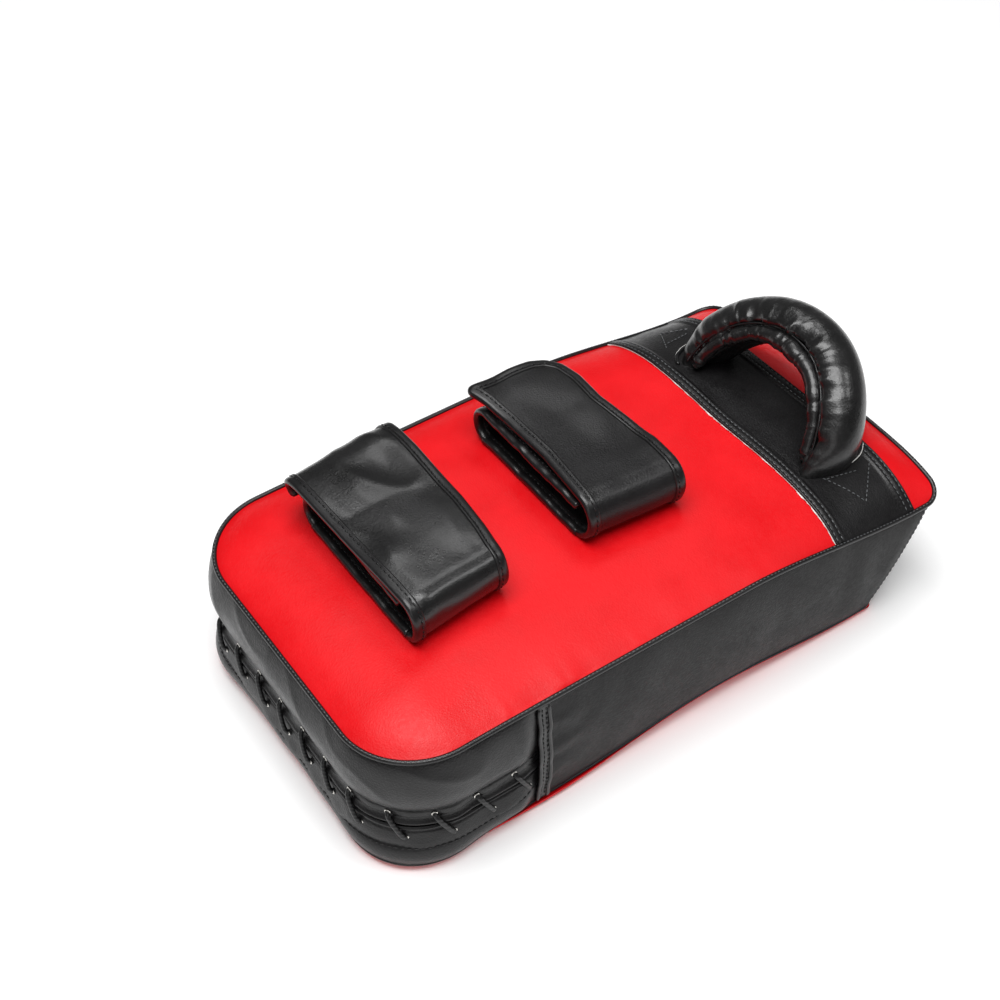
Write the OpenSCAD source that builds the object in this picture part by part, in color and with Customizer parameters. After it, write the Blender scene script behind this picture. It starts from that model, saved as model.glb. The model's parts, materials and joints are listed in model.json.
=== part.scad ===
// A padded forearm shield with a grip handle, two arm straps and a laced end.
// X runs from the laced end to the handle end, Y across the pad, Z up from the
// floor. The strike face lies down, the arm face lies up.

/* [Pad] */
// Length between the end seams of the arm face
pad_l = 368; // [330:1:445]
// Width between the side seams
pad_w = 207; // [185:1:250]
// Height of the arm face along its side seams
edge_h = 86; // [74:1:105]
// Height of the arm face at the laced end
lace_edge_h = 80; // [66:1:86]
// Height of the arm face at the handle end
handle_edge_h = 69; // [58:1:80]
// Rise of the arm face's middle over its side seams
crown = 11; // [5:0.5:16]
// Depth of the hollow along the strike face
sole_arch = 12; // [4:0.5:16]
// How far the handle end slopes in at the floor
end_undercut = 38; // [20:1:50]
// Corner radius at the laced end
corner_r = 45; // [30:1:60]

/* [Cover] */
// Thickness of the cover sheets
skin_t = 1.2; // [0.8:0.1:2]
// Height of the cut between the strike foam and the core foam
strike_foam_top = 30; // [22:1:36]
// Height of the cut between the core foam and the arm foam
core_foam_top = 62; // [50:1:66]
// Width of the sewn welts that stand out of the seams
welt_w = 1.4; // [0.8:0.1:2.5]
// Height of the sewn welts
welt_h = 2.6; // [1.5:0.1:4]
// Width of the felled strips over the upright seams
fell_w = 9; // [5:0.5:14]

/* [Handle band] */
// Width of the sheet band that the handle is sewn to
band_w = 63; // [50:1:80]
// Width of the end strip between the band and the end seam
strip_w = 18; // [10:1:30]
// How far the band's white backing shows past its inner edge
backing_show = 1; // [0.5:0.1:2]

/* [Lacing] */
// Length of the laced panel along each side
lace_panel_l = 91; // [66:1:120]
// Height of the laced panel's upper fold
lace_fold_h = 48; // [44:1:56]
// Height of the slit that the lace closes
slit_h = 34.5; // [32:0.5:38]
// Width of the slit
slit_w = 1; // [0.6:0.1:2]
// Height of the seam under the lower eyelet strip
hem_h = 14; // [12:1:18]
// Number of lace stitches
lace_count = 15; // [9:2:17]
// Run of one lace stitch along the wall
lace_slant = 9; // [4:0.5:11]
// Height from a lower eyelet to the upper one
lace_rise = 17; // [14:0.5:19]
// Diameter of the lace
lace_d = 2.4; // [1.6:0.1:2.6]
// Diameter of an eyelet's hole
eyelet_bore = 3.2; // [2.8:0.1:4]
// Diameter of an eyelet's barrel
eyelet_d = 4.8; // [4.4:0.1:6]

/* [Handle] */
// Distance between the handle's feet
handle_span = 110; // [100:1:125]
// Height of the grip's centre line over its feet's centres
handle_rise = 39; // [36:1:50]
// Radius of the padded grip
grip_r = 17; // [13:0.5:18]
// Lean of the handle towards the handle end at rest
handle_lean = 28; // [0:1:30]
// Width of the webbing inside the grip
webbing_w = 25; // [18:1:26]
// Thickness of the webbing
webbing_t = 2.4; // [1.5:0.1:3]
// Width of the seam edge that stands off the grip
flange_w = 5; // [3:0.5:8]
// Thickness of the seam edge
flange_t = 2.4; // [1.6:0.1:3]

/* [Arm straps] */
// Distance from the laced end to the first strap's middle
strap_1_from_end = 80; // [70:1:95]
// Distance between the middles of the two straps
strap_pitch = 117; // [90:1:130]
// Width of the first strap
strap_1_w = 65; // [50:1:70]
// Width of the second strap
strap_2_w = 60; // [50:1:70]
// Place of the first strap's near fold across the pad
strap_1_near = -35; // [-50:1:-25]
// Place of the first strap's far fold across the pad
strap_1_far = 60; // [50:1:65]
// Place of the second strap's near fold across the pad
strap_2_near = -29; // [-50:1:-20]
// Place of the second strap's far fold across the pad
strap_2_far = 57; // [50:1:65]
// Thickness of a strap's sheet with its lining
strap_t = 3.6; // [2.6:0.1:4.4]
// Radius of the near fold's centre line
near_fold_r = 13; // [11:0.5:18]
// Radius of the far fold's centre line
far_fold_r = 12; // [10:0.5:14]
// Length of the lower flap that carries the loop patch
under_flap_l = 50; // [35:1:52]
// Width of the edge binding
binding_w = 6; // [4:0.5:9]
// How far the binding stands out of the strap
binding_out = 0.4; // [0.2:0.1:0.6]
// Thickness of the hook patch and of the loop patch
patch_t = 1.4; // [0.8:0.1:1.8]
// Corner radius of the upper flap's free end
tip_r = 12; // [6:1:20]

/* [Hidden] */
// Clearance between pieces that move past each other
gap = 0.3;
// Steps along a profile drawn by a formula
profile_steps = 24;
// Steps round half a fold
fold_steps = 10;
// Larger than the pad, for cutting
far_out = 600;
// How far a cutter reaches past what it cuts
past = 5;
// Facets of small, middling and large round surfaces
few = 24;
some = 48;
many = 96;

// Powers that shape how the arm face falls towards each end
lace_fall = 6;
handle_fall = 3;

crown_z = edge_h + crown;
// The lengthwise profile passes just over the dome, which it cuts near the ends
ridge_over = 0.5;
ridge_z = crown_z + ridge_over;
crown_r = pad_w * pad_w / (8 * crown) + crown / 2;
half_l = pad_l / 2;
half_w = pad_w / 2;
lace_x = lace_panel_l - half_l;
band_x1 = half_l - strip_w;
band_x0 = band_x1 - band_w;
sole_end_x = half_l - end_undercut;

// The hollow under the pad runs between two flat stretches that touch the floor
sole_front_flat = 67;
sole_back_flat = 13;
sole_front_x = -half_l + sole_front_flat;
sole_back_x = sole_end_x - sole_back_flat;
sole_mid_x = (sole_front_x + sole_back_x) / 2;
sole_half = (sole_back_x - sole_front_x) / 2;

function back_z(x) = x < 0
    ? ridge_z - (ridge_z - lace_edge_h) * pow(-x / half_l, lace_fall)
    : ridge_z - (ridge_z - handle_edge_h) * pow(x / half_l, handle_fall);
function crown_at(y) = crown_z - crown_r + sqrt(crown_r * crown_r - y * y);
function face_z(x, y) = min(back_z(x), crown_at(y));
function sole_z(x) = abs(x - sole_mid_x) > sole_half
    ? 0
    : sole_arch * (1 - pow((x - sole_mid_x) / sole_half, 2));
function end_x(z, inset) = half_l - inset - end_undercut * (1 - z / handle_edge_h);
end_wall_top = handle_edge_h - 2 * skin_t;
function steps(a, b, n) = [for (i = [0:n]) a + (b - a) * i / n];
function unit(v) = v / norm(v);

// ---- outlines and blocks ----

module plan(inset) {
    r = corner_r - inset;
    w = pad_w - 2 * inset;
    x0 = -half_l + inset;
    translate([x0 + r, -w / 2]) square([pad_l - 2 * inset - r, w]);
    translate([x0, -w / 2 + r]) square([r + 1, w - 2 * r]);
    for (s = [-1, 1]) translate([x0 + r, s * (w / 2 - r)]) circle(r = r, $fn = many);
}

module plan_prism(inset) {
    translate([0, 0, -past]) linear_extrude(crown_z + 4 * past) plan(inset);
}

module across(width) {
    translate([0, width / 2, 0]) rotate([90, 0, 0]) linear_extrude(width) children();
}

module side_prism(drop, rise, inset) {
    xs_top = steps(half_l + past, -half_l - past, profile_steps);
    xs_sole = concat([-half_l - past], steps(sole_front_x, sole_back_x, profile_steps / 2),
        [sole_end_x + past]);
    across(pad_w + 2 * past)
        intersection() {
            polygon(concat(
                [for (x = xs_sole) [x, sole_z(x) + rise]],
                [[half_l + past, sole_z(half_l) + rise]],
                [for (x = xs_top) [x, back_z(x) - drop]]));
            polygon([
                [-far_out, -past * 2], [end_x(-past * 2, inset), -past * 2],
                [end_x(far_out / 2, inset), far_out / 2], [-far_out, far_out / 2]]);
        }
}

module crown_bar(drop) {
    translate([-far_out / 2, 0, crown_z - crown_r]) rotate([0, 90, 0])
        cylinder(r = crown_r - drop, h = far_out, $fn = 4 * many);
}

// The pad's outer form with its faces moved in by a given amount
module block(drop, rise, inset) {
    intersection() {
        plan_prism(inset);
        side_prism(drop, rise, inset);
        crown_bar(drop);
    }
}

module below_face(drop) {
    intersection() {
        side_prism(drop, -past, -past);
        crown_bar(drop);
    }
}

module slice_x(x0, x1) {
    translate([x0, -far_out / 2, -far_out / 2]) cube([x1 - x0, far_out, far_out]);
}

module slice_z(z0, z1) {
    translate([-far_out / 2, -far_out / 2, z0]) cube([far_out, far_out, z1 - z0]);
}

module face_sheet(x0, x1, top, thickness) {
    difference() {
        intersection() {
            block(top, 0, 0);
            slice_x(x0, x1);
        }
        below_face(top + thickness);
    }
}

module walls() {
    difference() {
        block(skin_t, skin_t, 0);
        block(-past, -past, skin_t);
    }
}

// ---- foam ----

// Depths under the outer wall, from the eyelet strips inwards
strip_depth = 2 * skin_t;
cord_depth = strip_depth + lace_d / 2 + gap;
tongue_out = cord_depth + lace_d / 2 + gap;
tongue_in = tongue_out + skin_t;
// How far the tongue reaches past the eyelet strips, below and above them
tongue_below = 2;
tongue_above = 4;
pocket_z0 = hem_h - tongue_below;
pocket_z1 = lace_fold_h + tongue_above;

module lace_pocket() {
    difference() {
        intersection() {
            plan_prism(-past);
            slice_x(-far_out, lace_x);
            slice_z(pocket_z0, pocket_z1);
        }
        plan_prism(tongue_in);
    }
}

module anchor_layer(side) {
    intersection() {
        difference() {
            block(skin_t, skin_t, skin_t);
            below_face(skin_t + webbing_t);
        }
        translate([handle_x - webbing_w / 2, side * handle_span / 2 - anchor_l / 2, 0])
            cube([webbing_w, anchor_l, crown_z]);
    }
}

module foam_layer(z0, z1) {
    difference() {
        intersection() {
            block(skin_t, skin_t, skin_t);
            slice_z(z0, z1);
        }
        lace_pocket();
    }
}

module strike_foam() { color("dimgray") foam_layer(-past, strike_foam_top); }
module core_foam() { color("gray") foam_layer(strike_foam_top, core_foam_top); }
module arm_foam() {
    color("darkgray") difference() {
        foam_layer(core_foam_top, far_out / 2);
        for (side = [-1, 1]) anchor_layer(side);
        band_backing_solid();
    }
}

// ---- cover sheets ----

module strike_panel() {
    color("red") difference() {
        block(skin_t, 0, 0);
        side_prism(-past, skin_t, -past);
    }
}

module back_panel() { color("red") face_sheet(-far_out / 2, band_x0 - backing_show, 0, skin_t); }
module end_strip() { color("red") face_sheet(band_x1, far_out / 2, 0, skin_t); }
module handle_band() {
    color([0.16, 0.15, 0.16]) difference() {
        face_sheet(band_x0, band_x1, 0, skin_t);
        for (side = [-1, 1]) foot_seat(side);
    }
}

// The backing turns up at the band's inner edge and shows as a white line
module band_backing_solid() {
    face_sheet(band_x0 - backing_show, band_x0, 0, skin_t);
}
module band_backing() { color("white") band_backing_solid(); }

module side_gusset(side) {
    color([0.2, 0.19, 0.2]) intersection() {
        walls();
        slice_x(lace_x, far_out / 2);
        translate([-far_out / 2, side > 0 ? half_w - skin_t : -far_out + skin_t - half_w, -past])
            cube([far_out, far_out, far_out / 2]);
    }
}
module side_gusset_near() { side_gusset(-1); }
module side_gusset_far() { side_gusset(1); }

module end_gusset() {
    color([0.2, 0.19, 0.2]) across(pad_w - 2 * skin_t) polygon([
        [end_x(skin_t, 0), skin_t],
        [end_x(end_wall_top, 0), end_wall_top],
        [end_x(end_wall_top, skin_t), end_wall_top],
        [end_x(skin_t, skin_t), skin_t]]);
}

module lace_upper_panel() {
    color([0.2, 0.19, 0.2]) intersection() {
        walls();
        slice_x(-far_out / 2, lace_x);
        slice_z(lace_fold_h, far_out / 2);
    }
}
module lace_lower_panel() {
    color([0.2, 0.19, 0.2]) intersection() {
        walls();
        slice_x(-far_out / 2, lace_x);
        slice_z(-past, hem_h);
    }
}

// ---- sewn welts and felled seams ----

module welt_ring() {
    difference() {
        plan_prism(-welt_w);
        plan_prism(0);
    }
}

module welt_side(drop, rise) {
    intersection() {
        welt_ring();
        slice_x(-far_out / 2, half_l);
        side_prism(drop, rise, 0);
        crown_bar(drop);
    }
}

module back_welt() {
    color([0.12, 0.12, 0.12]) difference() {
        welt_side(0, skin_t);
        below_face(welt_h);
    }
}

module strike_welt() {
    color([0.12, 0.12, 0.12]) difference() {
        welt_side(skin_t, 0);
        side_prism(-past, welt_h, -past);
    }
}

module fell_strip(side, x0) {
    color([0.14, 0.14, 0.14]) intersection() {
        translate([x0, side > 0 ? half_w : -half_w - welt_w / 2, 0])
            cube([fell_w, welt_w / 2, far_out / 2]);
        side_prism(welt_h + gap, welt_h + gap, 0);
        crown_bar(welt_h + gap);
    }
}
module side_seam_near() { fell_strip(-1, lace_x - fell_w / 2); }
module side_seam_far() { fell_strip(1, lace_x - fell_w / 2); }

module corner_seam(side) {
    color([0.14, 0.14, 0.14]) intersection() {
        translate([-far_out / 2, side > 0 ? half_w : -half_w - welt_w / 2, 0])
            cube([far_out, welt_w / 2, far_out / 2]);
        difference() {
            side_prism(welt_h + gap, welt_h + gap, 0);
            side_prism(-past, -past, fell_w);
        }
        crown_bar(welt_h + gap);
    }
}
module corner_seam_near() { corner_seam(-1); }
module corner_seam_far() { corner_seam(1); }

// ---- lacing ----

lace_straight = lace_panel_l - corner_r;
lace_arc = PI / 2 * corner_r;
lace_end = pad_w - 2 * corner_r;
lace_total = 2 * lace_straight + 2 * lace_arc + lace_end;
// Distance from the side seam to the first stitch
lace_margin = 14;
lace_pitch = (lace_total - 2 * lace_margin) / (lace_count - 1);
// How far an eyelet stands out of the wall
eyelet_lip = 0.4;
lower_eye_z = slit_h - lace_rise / 2;
upper_eye_z = slit_h + lace_rise / 2;

// Point on the wall at distance s from the near seam: x, y and the way out
function wall_at(s) =
    let (a1 = lace_straight, a2 = a1 + lace_arc, a3 = a2 + lace_end, a4 = a3 + lace_arc)
    s < a1 ? [lace_x - s, -half_w, -90]
    : s < a2 ? let (a = -90 - (s - a1) / corner_r * 180 / PI)
        [-half_l + corner_r + corner_r * cos(a), -half_w + corner_r + corner_r * sin(a), a]
    : s < a3 ? [-half_l, -half_w + corner_r + s - a2, -180]
    : s < a4 ? let (a = 180 - (s - a3) / corner_r * 180 / PI)
        [-half_l + corner_r + corner_r * cos(a), half_w - corner_r + corner_r * sin(a), a]
    : [-half_l + corner_r + s - a4, half_w, 90];
function off_wall(s, z, out) = let (p = wall_at(s))
    [p[0] + out * cos(p[2]), p[1] + out * sin(p[2]), z];

function upper_s(i) = lace_margin + i * lace_pitch + lace_slant / 2;
function lower_s(i) = lace_margin + i * lace_pitch - lace_slant / 2;

module at_eyelets() {
    for (i = [0:lace_count - 1]) {
        for (eye = [[upper_s(i), upper_eye_z], [lower_s(i), lower_eye_z]]) {
            p = wall_at(eye[0]);
            translate([p[0], p[1], eye[1]]) rotate([0, 90, p[2]]) children();
        }
    }
}

module eyelet_strip(z0, z1) {
    color([0.17, 0.16, 0.17]) difference() {
        intersection() {
            difference() {
                plan_prism(0);
                plan_prism(strip_depth);
            }
            slice_x(-far_out / 2, lace_x);
            slice_z(z0, z1);
        }
        at_eyelets() translate([0, 0, -strip_depth * 2])
            cylinder(d = eyelet_d, h = strip_depth * 3, $fn = few);
    }
}
module upper_eyelet_strip() { eyelet_strip(slit_h + slit_w / 2, lace_fold_h); }
module lower_eyelet_strip() { eyelet_strip(hem_h, slit_h - slit_w / 2); }

module lace_eyelets() {
    color("gainsboro") at_eyelets() difference() {
        translate([0, 0, -strip_depth])
            cylinder(d = eyelet_d, h = strip_depth + eyelet_lip, $fn = few);
        translate([0, 0, -strip_depth * 2])
            cylinder(d = eyelet_bore, h = strip_depth * 4, $fn = few);
    }
}

module lace_tongue() {
    color([0.13, 0.13, 0.13]) intersection() {
        difference() {
            plan_prism(tongue_out);
            plan_prism(tongue_in);
        }
        slice_x(-far_out / 2, lace_x);
        slice_z(pocket_z0, pocket_z1);
    }
}

// The lace runs down outside each stitch and climbs inside to the next one
lace_out = lace_d / 2 + eyelet_lip + gap;
lace_bow = 0.2;
lace_sides = 6;
function stitch(i) = [
    off_wall(upper_s(i), upper_eye_z, lace_out),
    off_wall((upper_s(i) + lower_s(i)) / 2, slit_h, lace_out + lace_bow),
    off_wall(lower_s(i), lower_eye_z, lace_out)];
function climb(i) = i == lace_count - 1
    ? [off_wall(lower_s(i), lower_eye_z, -cord_depth)]
    : [for (u = [0:0.25:1]) off_wall(
        lower_s(i) + (upper_s(i + 1) - lower_s(i)) * u,
        lower_eye_z + lace_rise * u, -cord_depth)];
lace_route = concat(
    [off_wall(upper_s(0), upper_eye_z, -cord_depth)],
    [for (i = [0:lace_count - 1]) for (p = concat(stitch(i), climb(i))) p]);

function tangents(route) = let (n = len(route))
    [for (i = [0:n - 1]) unit(
        unit(route[min(i + 1, n - 1)] - route[min(i, n - 2)])
        + unit(route[max(i, 1)] - route[max(i - 1, 0)]))];
function carried(normals, ways, i) = i == len(ways)
    ? normals
    : let (last = normals[i - 1], flat = last - (last * ways[i]) * ways[i])
        carried(concat(normals, [unit(flat)]), ways, i + 1);

module swept(route, radius, sides) {
    ways = tangents(route);
    first = unit(cross(ways[0], [0, 0, 1]));
    normals = carried([first], ways, 1);
    n = len(route);
    points = [for (i = [0:n - 1]) for (k = [0:sides - 1])
        let (a = 360 * k / sides, side = cross(ways[i], normals[i]))
        route[i] + radius * (cos(a) * normals[i] + sin(a) * side)];
    walls = [for (i = [0:n - 2]) for (k = [0:sides - 1])
        let (a = i * sides + k, b = i * sides + (k + 1) % sides)
        for (tri = [[a, b, b + sides], [a, b + sides, a + sides]]) tri];
    caps = [[for (k = [sides - 1:-1:0]) k], [for (k = [0:sides - 1]) (n - 1) * sides + k]];
    polyhedron(points, concat(walls, caps), convexity = 10);
}
module lace_cord() { color([0.08, 0.08, 0.08]) swept(lace_route, lace_d / 2, lace_sides); }

// ---- handle ----

// How far the handle stands from the band's middle towards the end
handle_set_back = -1;
handle_x = (band_x0 + band_x1) / 2 + handle_set_back;
// Length of the webbing's sewn end
anchor_l = 46;
foot_face_z = face_z(handle_x, handle_span / 2);
// The feet's centres clear the sloping face under them
foot_clear = 1;
handle_axis_z = foot_face_z + grip_r + 2 * gap + foot_clear;
seat_wall = 3;
seat_r = grip_r + seat_wall;
// Share of the grip's radius that the seat leaves above its rim
seat_open = 0.6;
seat_top = handle_axis_z - seat_open * grip_r;

module at_handle() {
    translate([handle_x, 0, handle_axis_z]) rotate([0, handle_lean, 0]) children();
}

// Sweeps a section along the handle's arch; the section's Y axis lies along X
module arch() {
    half = handle_span / 2 - handle_rise;
    for (flip = [0, 1])
        mirror([0, flip, 0]) translate([0, half, 0]) rotate([90, 0, 90])
            rotate_extrude(angle = 90, $fn = many) translate([handle_rise, 0]) children();
    if (half > 0)
        translate([0, half, handle_rise]) rotate([90, 0, 0]) linear_extrude(2 * half)
            rotate(90) mirror([0, 1]) children();
}

module grip_solid(r) {
    arch() circle(r = r, $fn = some);
    for (s = [-1, 1]) translate([0, s * handle_span / 2, 0]) sphere(r = r, $fn = some);
}

module webbing_solid() {
    arch() square([webbing_t, webbing_w], center = true);
}

module handle_cover() {
    color([0.15, 0.15, 0.15]) at_handle() difference() {
        grip_solid(grip_r);
        grip_solid(grip_r - skin_t);
    }
}
module handle_foam() {
    color("gray") at_handle() difference() {
        grip_solid(grip_r - skin_t);
        webbing_solid();
    }
}
module handle_webbing() { color([0.3, 0.3, 0.3]) at_handle() webbing_solid(); }

module foot_seat(side) {
    translate([handle_x, side * handle_span / 2, 0])
        translate([0, 0, handle_axis_z]) sphere(r = grip_r + gap, $fn = some);
}
module handle_foot(side) {
    color([0.13, 0.13, 0.13]) difference() {
        translate([handle_x, side * handle_span / 2, edge_h / 2])
            cylinder(r = seat_r, h = seat_top - edge_h / 2, $fn = some);
        foot_seat(side);
        below_face(0);
    }
}
module handle_foot_near() { handle_foot(-1); }
module handle_foot_far() { handle_foot(1); }

module handle_anchor_near() { color([0.3, 0.3, 0.3]) anchor_layer(-1); }
module handle_anchor_far() { color([0.3, 0.3, 0.3]) anchor_layer(1); }

// ---- arm straps ----

strap_1_x = strap_1_from_end - half_l;
strap_2_x = strap_1_x + strap_pitch;

// Offsets a centre line to both sides and closes it
function ribbon(path, t) = let (
    n = len(path),
    ways = [for (i = [0:n - 1]) unit(path[min(i + 1, n - 1)] - path[max(i - 1, 0)])],
    left = [for (i = [0:n - 1]) path[i] + t / 2 * [-ways[i][1], ways[i][0]]],
    right = [for (i = [n - 1:-1:0]) path[i] - t / 2 * [-ways[i][1], ways[i][0]]])
    concat(left, right);

// Clearance between a fold's end and the flap hinged to it
fold_gap = 0.8;
// Distance over which a sheet leaves a fold
fold_run = 12;
// Steps of the lowest layer over the dome
bed_steps = 6;
// How far the upper flaps reach past the far fold, and how far the first one curls over
tip_out = 3;
curl_out = 4.5;
curl_drop = 13;
// How far the second flap's free end lifts
tip_lift = 3;

function near_c(near) = crown_at(near) + strap_t / 2 + near_fold_r;
function far_c(far) = crown_at(far) + strap_t / 2 + far_fold_r;
function near_top(near) = near_c(near) + near_fold_r;
function far_top(far) = far_c(far) + far_fold_r;

function loop_path(near, far) = concat(
    [for (a = steps(90, 270, fold_steps))
        [near + near_fold_r * cos(a), near_c(near) + near_fold_r * sin(a)]],
    [for (y = steps(near + fold_run, far - fold_run, bed_steps)) [y, crown_at(y) + strap_t / 2]],
    [for (a = steps(-90, 90, fold_steps))
        [far + far_fold_r * cos(a), far_c(far) + far_fold_r * sin(a)]]);

function under_path(far) = [[far - fold_gap, far_top(far)], [far - under_flap_l, far_top(far)]];

// The upper flap clears the lower flap with both patches between them
function flap_z(far) = far_top(far) + strap_t + 2 * patch_t + gap;

function flap_start(near) = [
    [near + fold_gap, near_top(near)],
    [near + fold_run, near_top(near) + 1]];

function straight_flap(near, far) = concat(flap_start(near), [
    [far - under_flap_l, flap_z(far) + gap],
    [far - fold_run, flap_z(far) + tip_lift / 6],
    [far + tip_out, flap_z(far) + tip_lift / 2],
    [far + far_fold_r + tip_out, flap_z(far) + tip_lift]]);

function curled_flap(near, far) = concat(flap_start(near), [
    [far - under_flap_l, flap_z(far) + gap],
    [far + tip_out, flap_z(far) + gap],
    [far + far_fold_r - 1, flap_z(far) - 1],
    [far + far_fold_r + tip_out, flap_z(far) - curl_drop / 3],
    [far + far_fold_r + curl_out, flap_z(far) - 2 * curl_drop / 3],
    [far + far_fold_r + curl_out, flap_z(far) - curl_drop]]);

module along(x, width) {
    translate([x - width / 2, 0, 0]) rotate([90, 0, 90]) linear_extrude(width) children();
}

module edges(x, width) {
    for (s = [0, 1])
        translate([x - width / 2 + s * (width - binding_w), -far_out / 2, 0])
            cube([binding_w, far_out, far_out / 2]);
}

// A strap's sheet stops short of the binding's outer fold
module sheet_of(x, width, path) {
    along(x, width - 2 * binding_out) polygon(ribbon(path, strap_t));
}

module bound_edge(x, width, path) {
    difference() {
        intersection() {
            along(x, width) polygon(ribbon(path, strap_t + 2 * binding_out));
            edges(x, width);
        }
        sheet_of(x, width, path);
    }
}

// Fills the space between the strap's lowest layer and the domed face
bed_in = 2;
module bed(x, width, near, far) {
    along(x, width - 2 * binding_out) polygon(concat(
        [for (y = steps(near + bed_in, far - bed_in, bed_steps)) [y, crown_at(y) + strap_t / 4]],
        [[far - bed_in, edge_h / 2], [near + bed_in, edge_h / 2]]));
}

module strap_base(x, width, near, far) {
    color([0.14, 0.14, 0.14]) difference() {
        union() {
            sheet_of(x, width, loop_path(near, far));
            bed(x, width, near, far);
        }
        below_face(0);
    }
}

module strap_base_binding(x, width, near, far) {
    color([0.1, 0.1, 0.1]) difference() {
        bound_edge(x, width, loop_path(near, far));
        bed(x, width, near, far);
        below_face(0);
    }
}

module tip_plan(x, width, far) {
    r = tip_r;
    reach = far_out / 2 + far + far_fold_r + tip_out;
    translate([x - width / 2, -far_out / 2, 0]) linear_extrude(far_out / 2) {
        square([width, reach - r]);
        translate([r, 0]) square([width - 2 * r, reach]);
        for (cx = [r, width - r]) translate([cx, reach - r]) circle(r = r, $fn = some);
    }
}

module strap_1_base() { strap_base(strap_1_x, strap_1_w, strap_1_near, strap_1_far); }
module strap_2_base() { strap_base(strap_2_x, strap_2_w, strap_2_near, strap_2_far); }
module strap_1_base_binding() {
    strap_base_binding(strap_1_x, strap_1_w, strap_1_near, strap_1_far);
}
module strap_2_base_binding() {
    strap_base_binding(strap_2_x, strap_2_w, strap_2_near, strap_2_far);
}

module strap_1_top_flap() {
    color([0.22, 0.21, 0.22])
        sheet_of(strap_1_x, strap_1_w, curled_flap(strap_1_near, strap_1_far));
}
module strap_1_top_binding() {
    color([0.1, 0.1, 0.1])
        bound_edge(strap_1_x, strap_1_w, curled_flap(strap_1_near, strap_1_far));
}
module strap_2_top_flap() {
    color([0.22, 0.21, 0.22]) intersection() {
        sheet_of(strap_2_x, strap_2_w, straight_flap(strap_2_near, strap_2_far));
        tip_plan(strap_2_x, strap_2_w, strap_2_far);
    }
}
module strap_2_top_binding() {
    color([0.1, 0.1, 0.1]) intersection() {
        bound_edge(strap_2_x, strap_2_w, straight_flap(strap_2_near, strap_2_far));
        tip_plan(strap_2_x, strap_2_w, strap_2_far);
    }
}

module under_flap(x, width, far) {
    color([0.16, 0.16, 0.16]) sheet_of(x, width, under_path(far));
}
module strap_1_under_flap() { under_flap(strap_1_x, strap_1_w, strap_1_far); }
module strap_2_under_flap() { under_flap(strap_2_x, strap_2_w, strap_2_far); }
module strap_1_under_binding() {
    color([0.1, 0.1, 0.1]) bound_edge(strap_1_x, strap_1_w, under_path(strap_1_far));
}
module strap_2_under_binding() {
    color([0.1, 0.1, 0.1]) bound_edge(strap_2_x, strap_2_w, under_path(strap_2_far));
}

// The loop patch lies on the lower flap, the hook patch hangs over it
patch_margin = 1;
patch_in = 4;
module patch(x, width, far, z0) {
    margin = binding_w + patch_margin;
    translate([x - width / 2 + margin, far - under_flap_l + patch_in, z0])
        cube([width - 2 * margin, under_flap_l - 3 * patch_in, patch_t]);
}
module loop_patch(x, width, far) {
    color([0.1, 0.1, 0.12]) patch(x, width, far, far_top(far) + strap_t / 2);
}
module hook_patch(x, width, far, path) {
    color([0.05, 0.05, 0.06]) difference() {
        patch(x, width, far, far_top(far) + strap_t / 2 + 3 * patch_t / 2 + gap);
        sheet_of(x, width, path);
    }
}
module strap_1_loop() { loop_patch(strap_1_x, strap_1_w, strap_1_far); }
module strap_2_loop() { loop_patch(strap_2_x, strap_2_w, strap_2_far); }
module strap_1_hook() {
    hook_patch(strap_1_x, strap_1_w, strap_1_far, curled_flap(strap_1_near, strap_1_far));
}
module strap_2_hook() {
    hook_patch(strap_2_x, strap_2_w, strap_2_far, straight_flap(strap_2_near, strap_2_far));
}

// The grip's seam edge stands off the side that faces the laced end
flange_angle = 215;
module handle_seam_edge() {
    color([0.1, 0.1, 0.1]) at_handle() difference() {
        arch() rotate(flange_angle)
            translate([grip_r - gap, -flange_t / 2]) square([flange_w + gap, flange_t]);
        grip_solid(grip_r);
        translate([-far_out / 2, -far_out / 2, -far_out / 2])
            cube([far_out, far_out, far_out / 2 + grip_r / 2]);
    }
}

strike_foam();
core_foam();
arm_foam();
strike_panel();
back_panel();
end_strip();
handle_band();
band_backing();
side_gusset_near();
side_gusset_far();
end_gusset();
lace_upper_panel();
lace_lower_panel();
upper_eyelet_strip();
lower_eyelet_strip();
lace_tongue();
lace_eyelets();
lace_cord();
back_welt();
strike_welt();
side_seam_near();
side_seam_far();
corner_seam_near();
corner_seam_far();
handle_cover();
handle_foam();
handle_webbing();
handle_seam_edge();
handle_foot_near();
handle_foot_far();
handle_anchor_near();
handle_anchor_far();
strap_1_base();
strap_1_base_binding();
strap_1_under_flap();
strap_1_under_binding();
strap_1_loop();
strap_1_top_flap();
strap_1_top_binding();
strap_1_hook();
strap_2_base();
strap_2_base_binding();
strap_2_under_flap();
strap_2_under_binding();
strap_2_loop();
strap_2_top_flap();
strap_2_top_binding();
strap_2_hook();
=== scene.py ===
import json
import math

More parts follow.
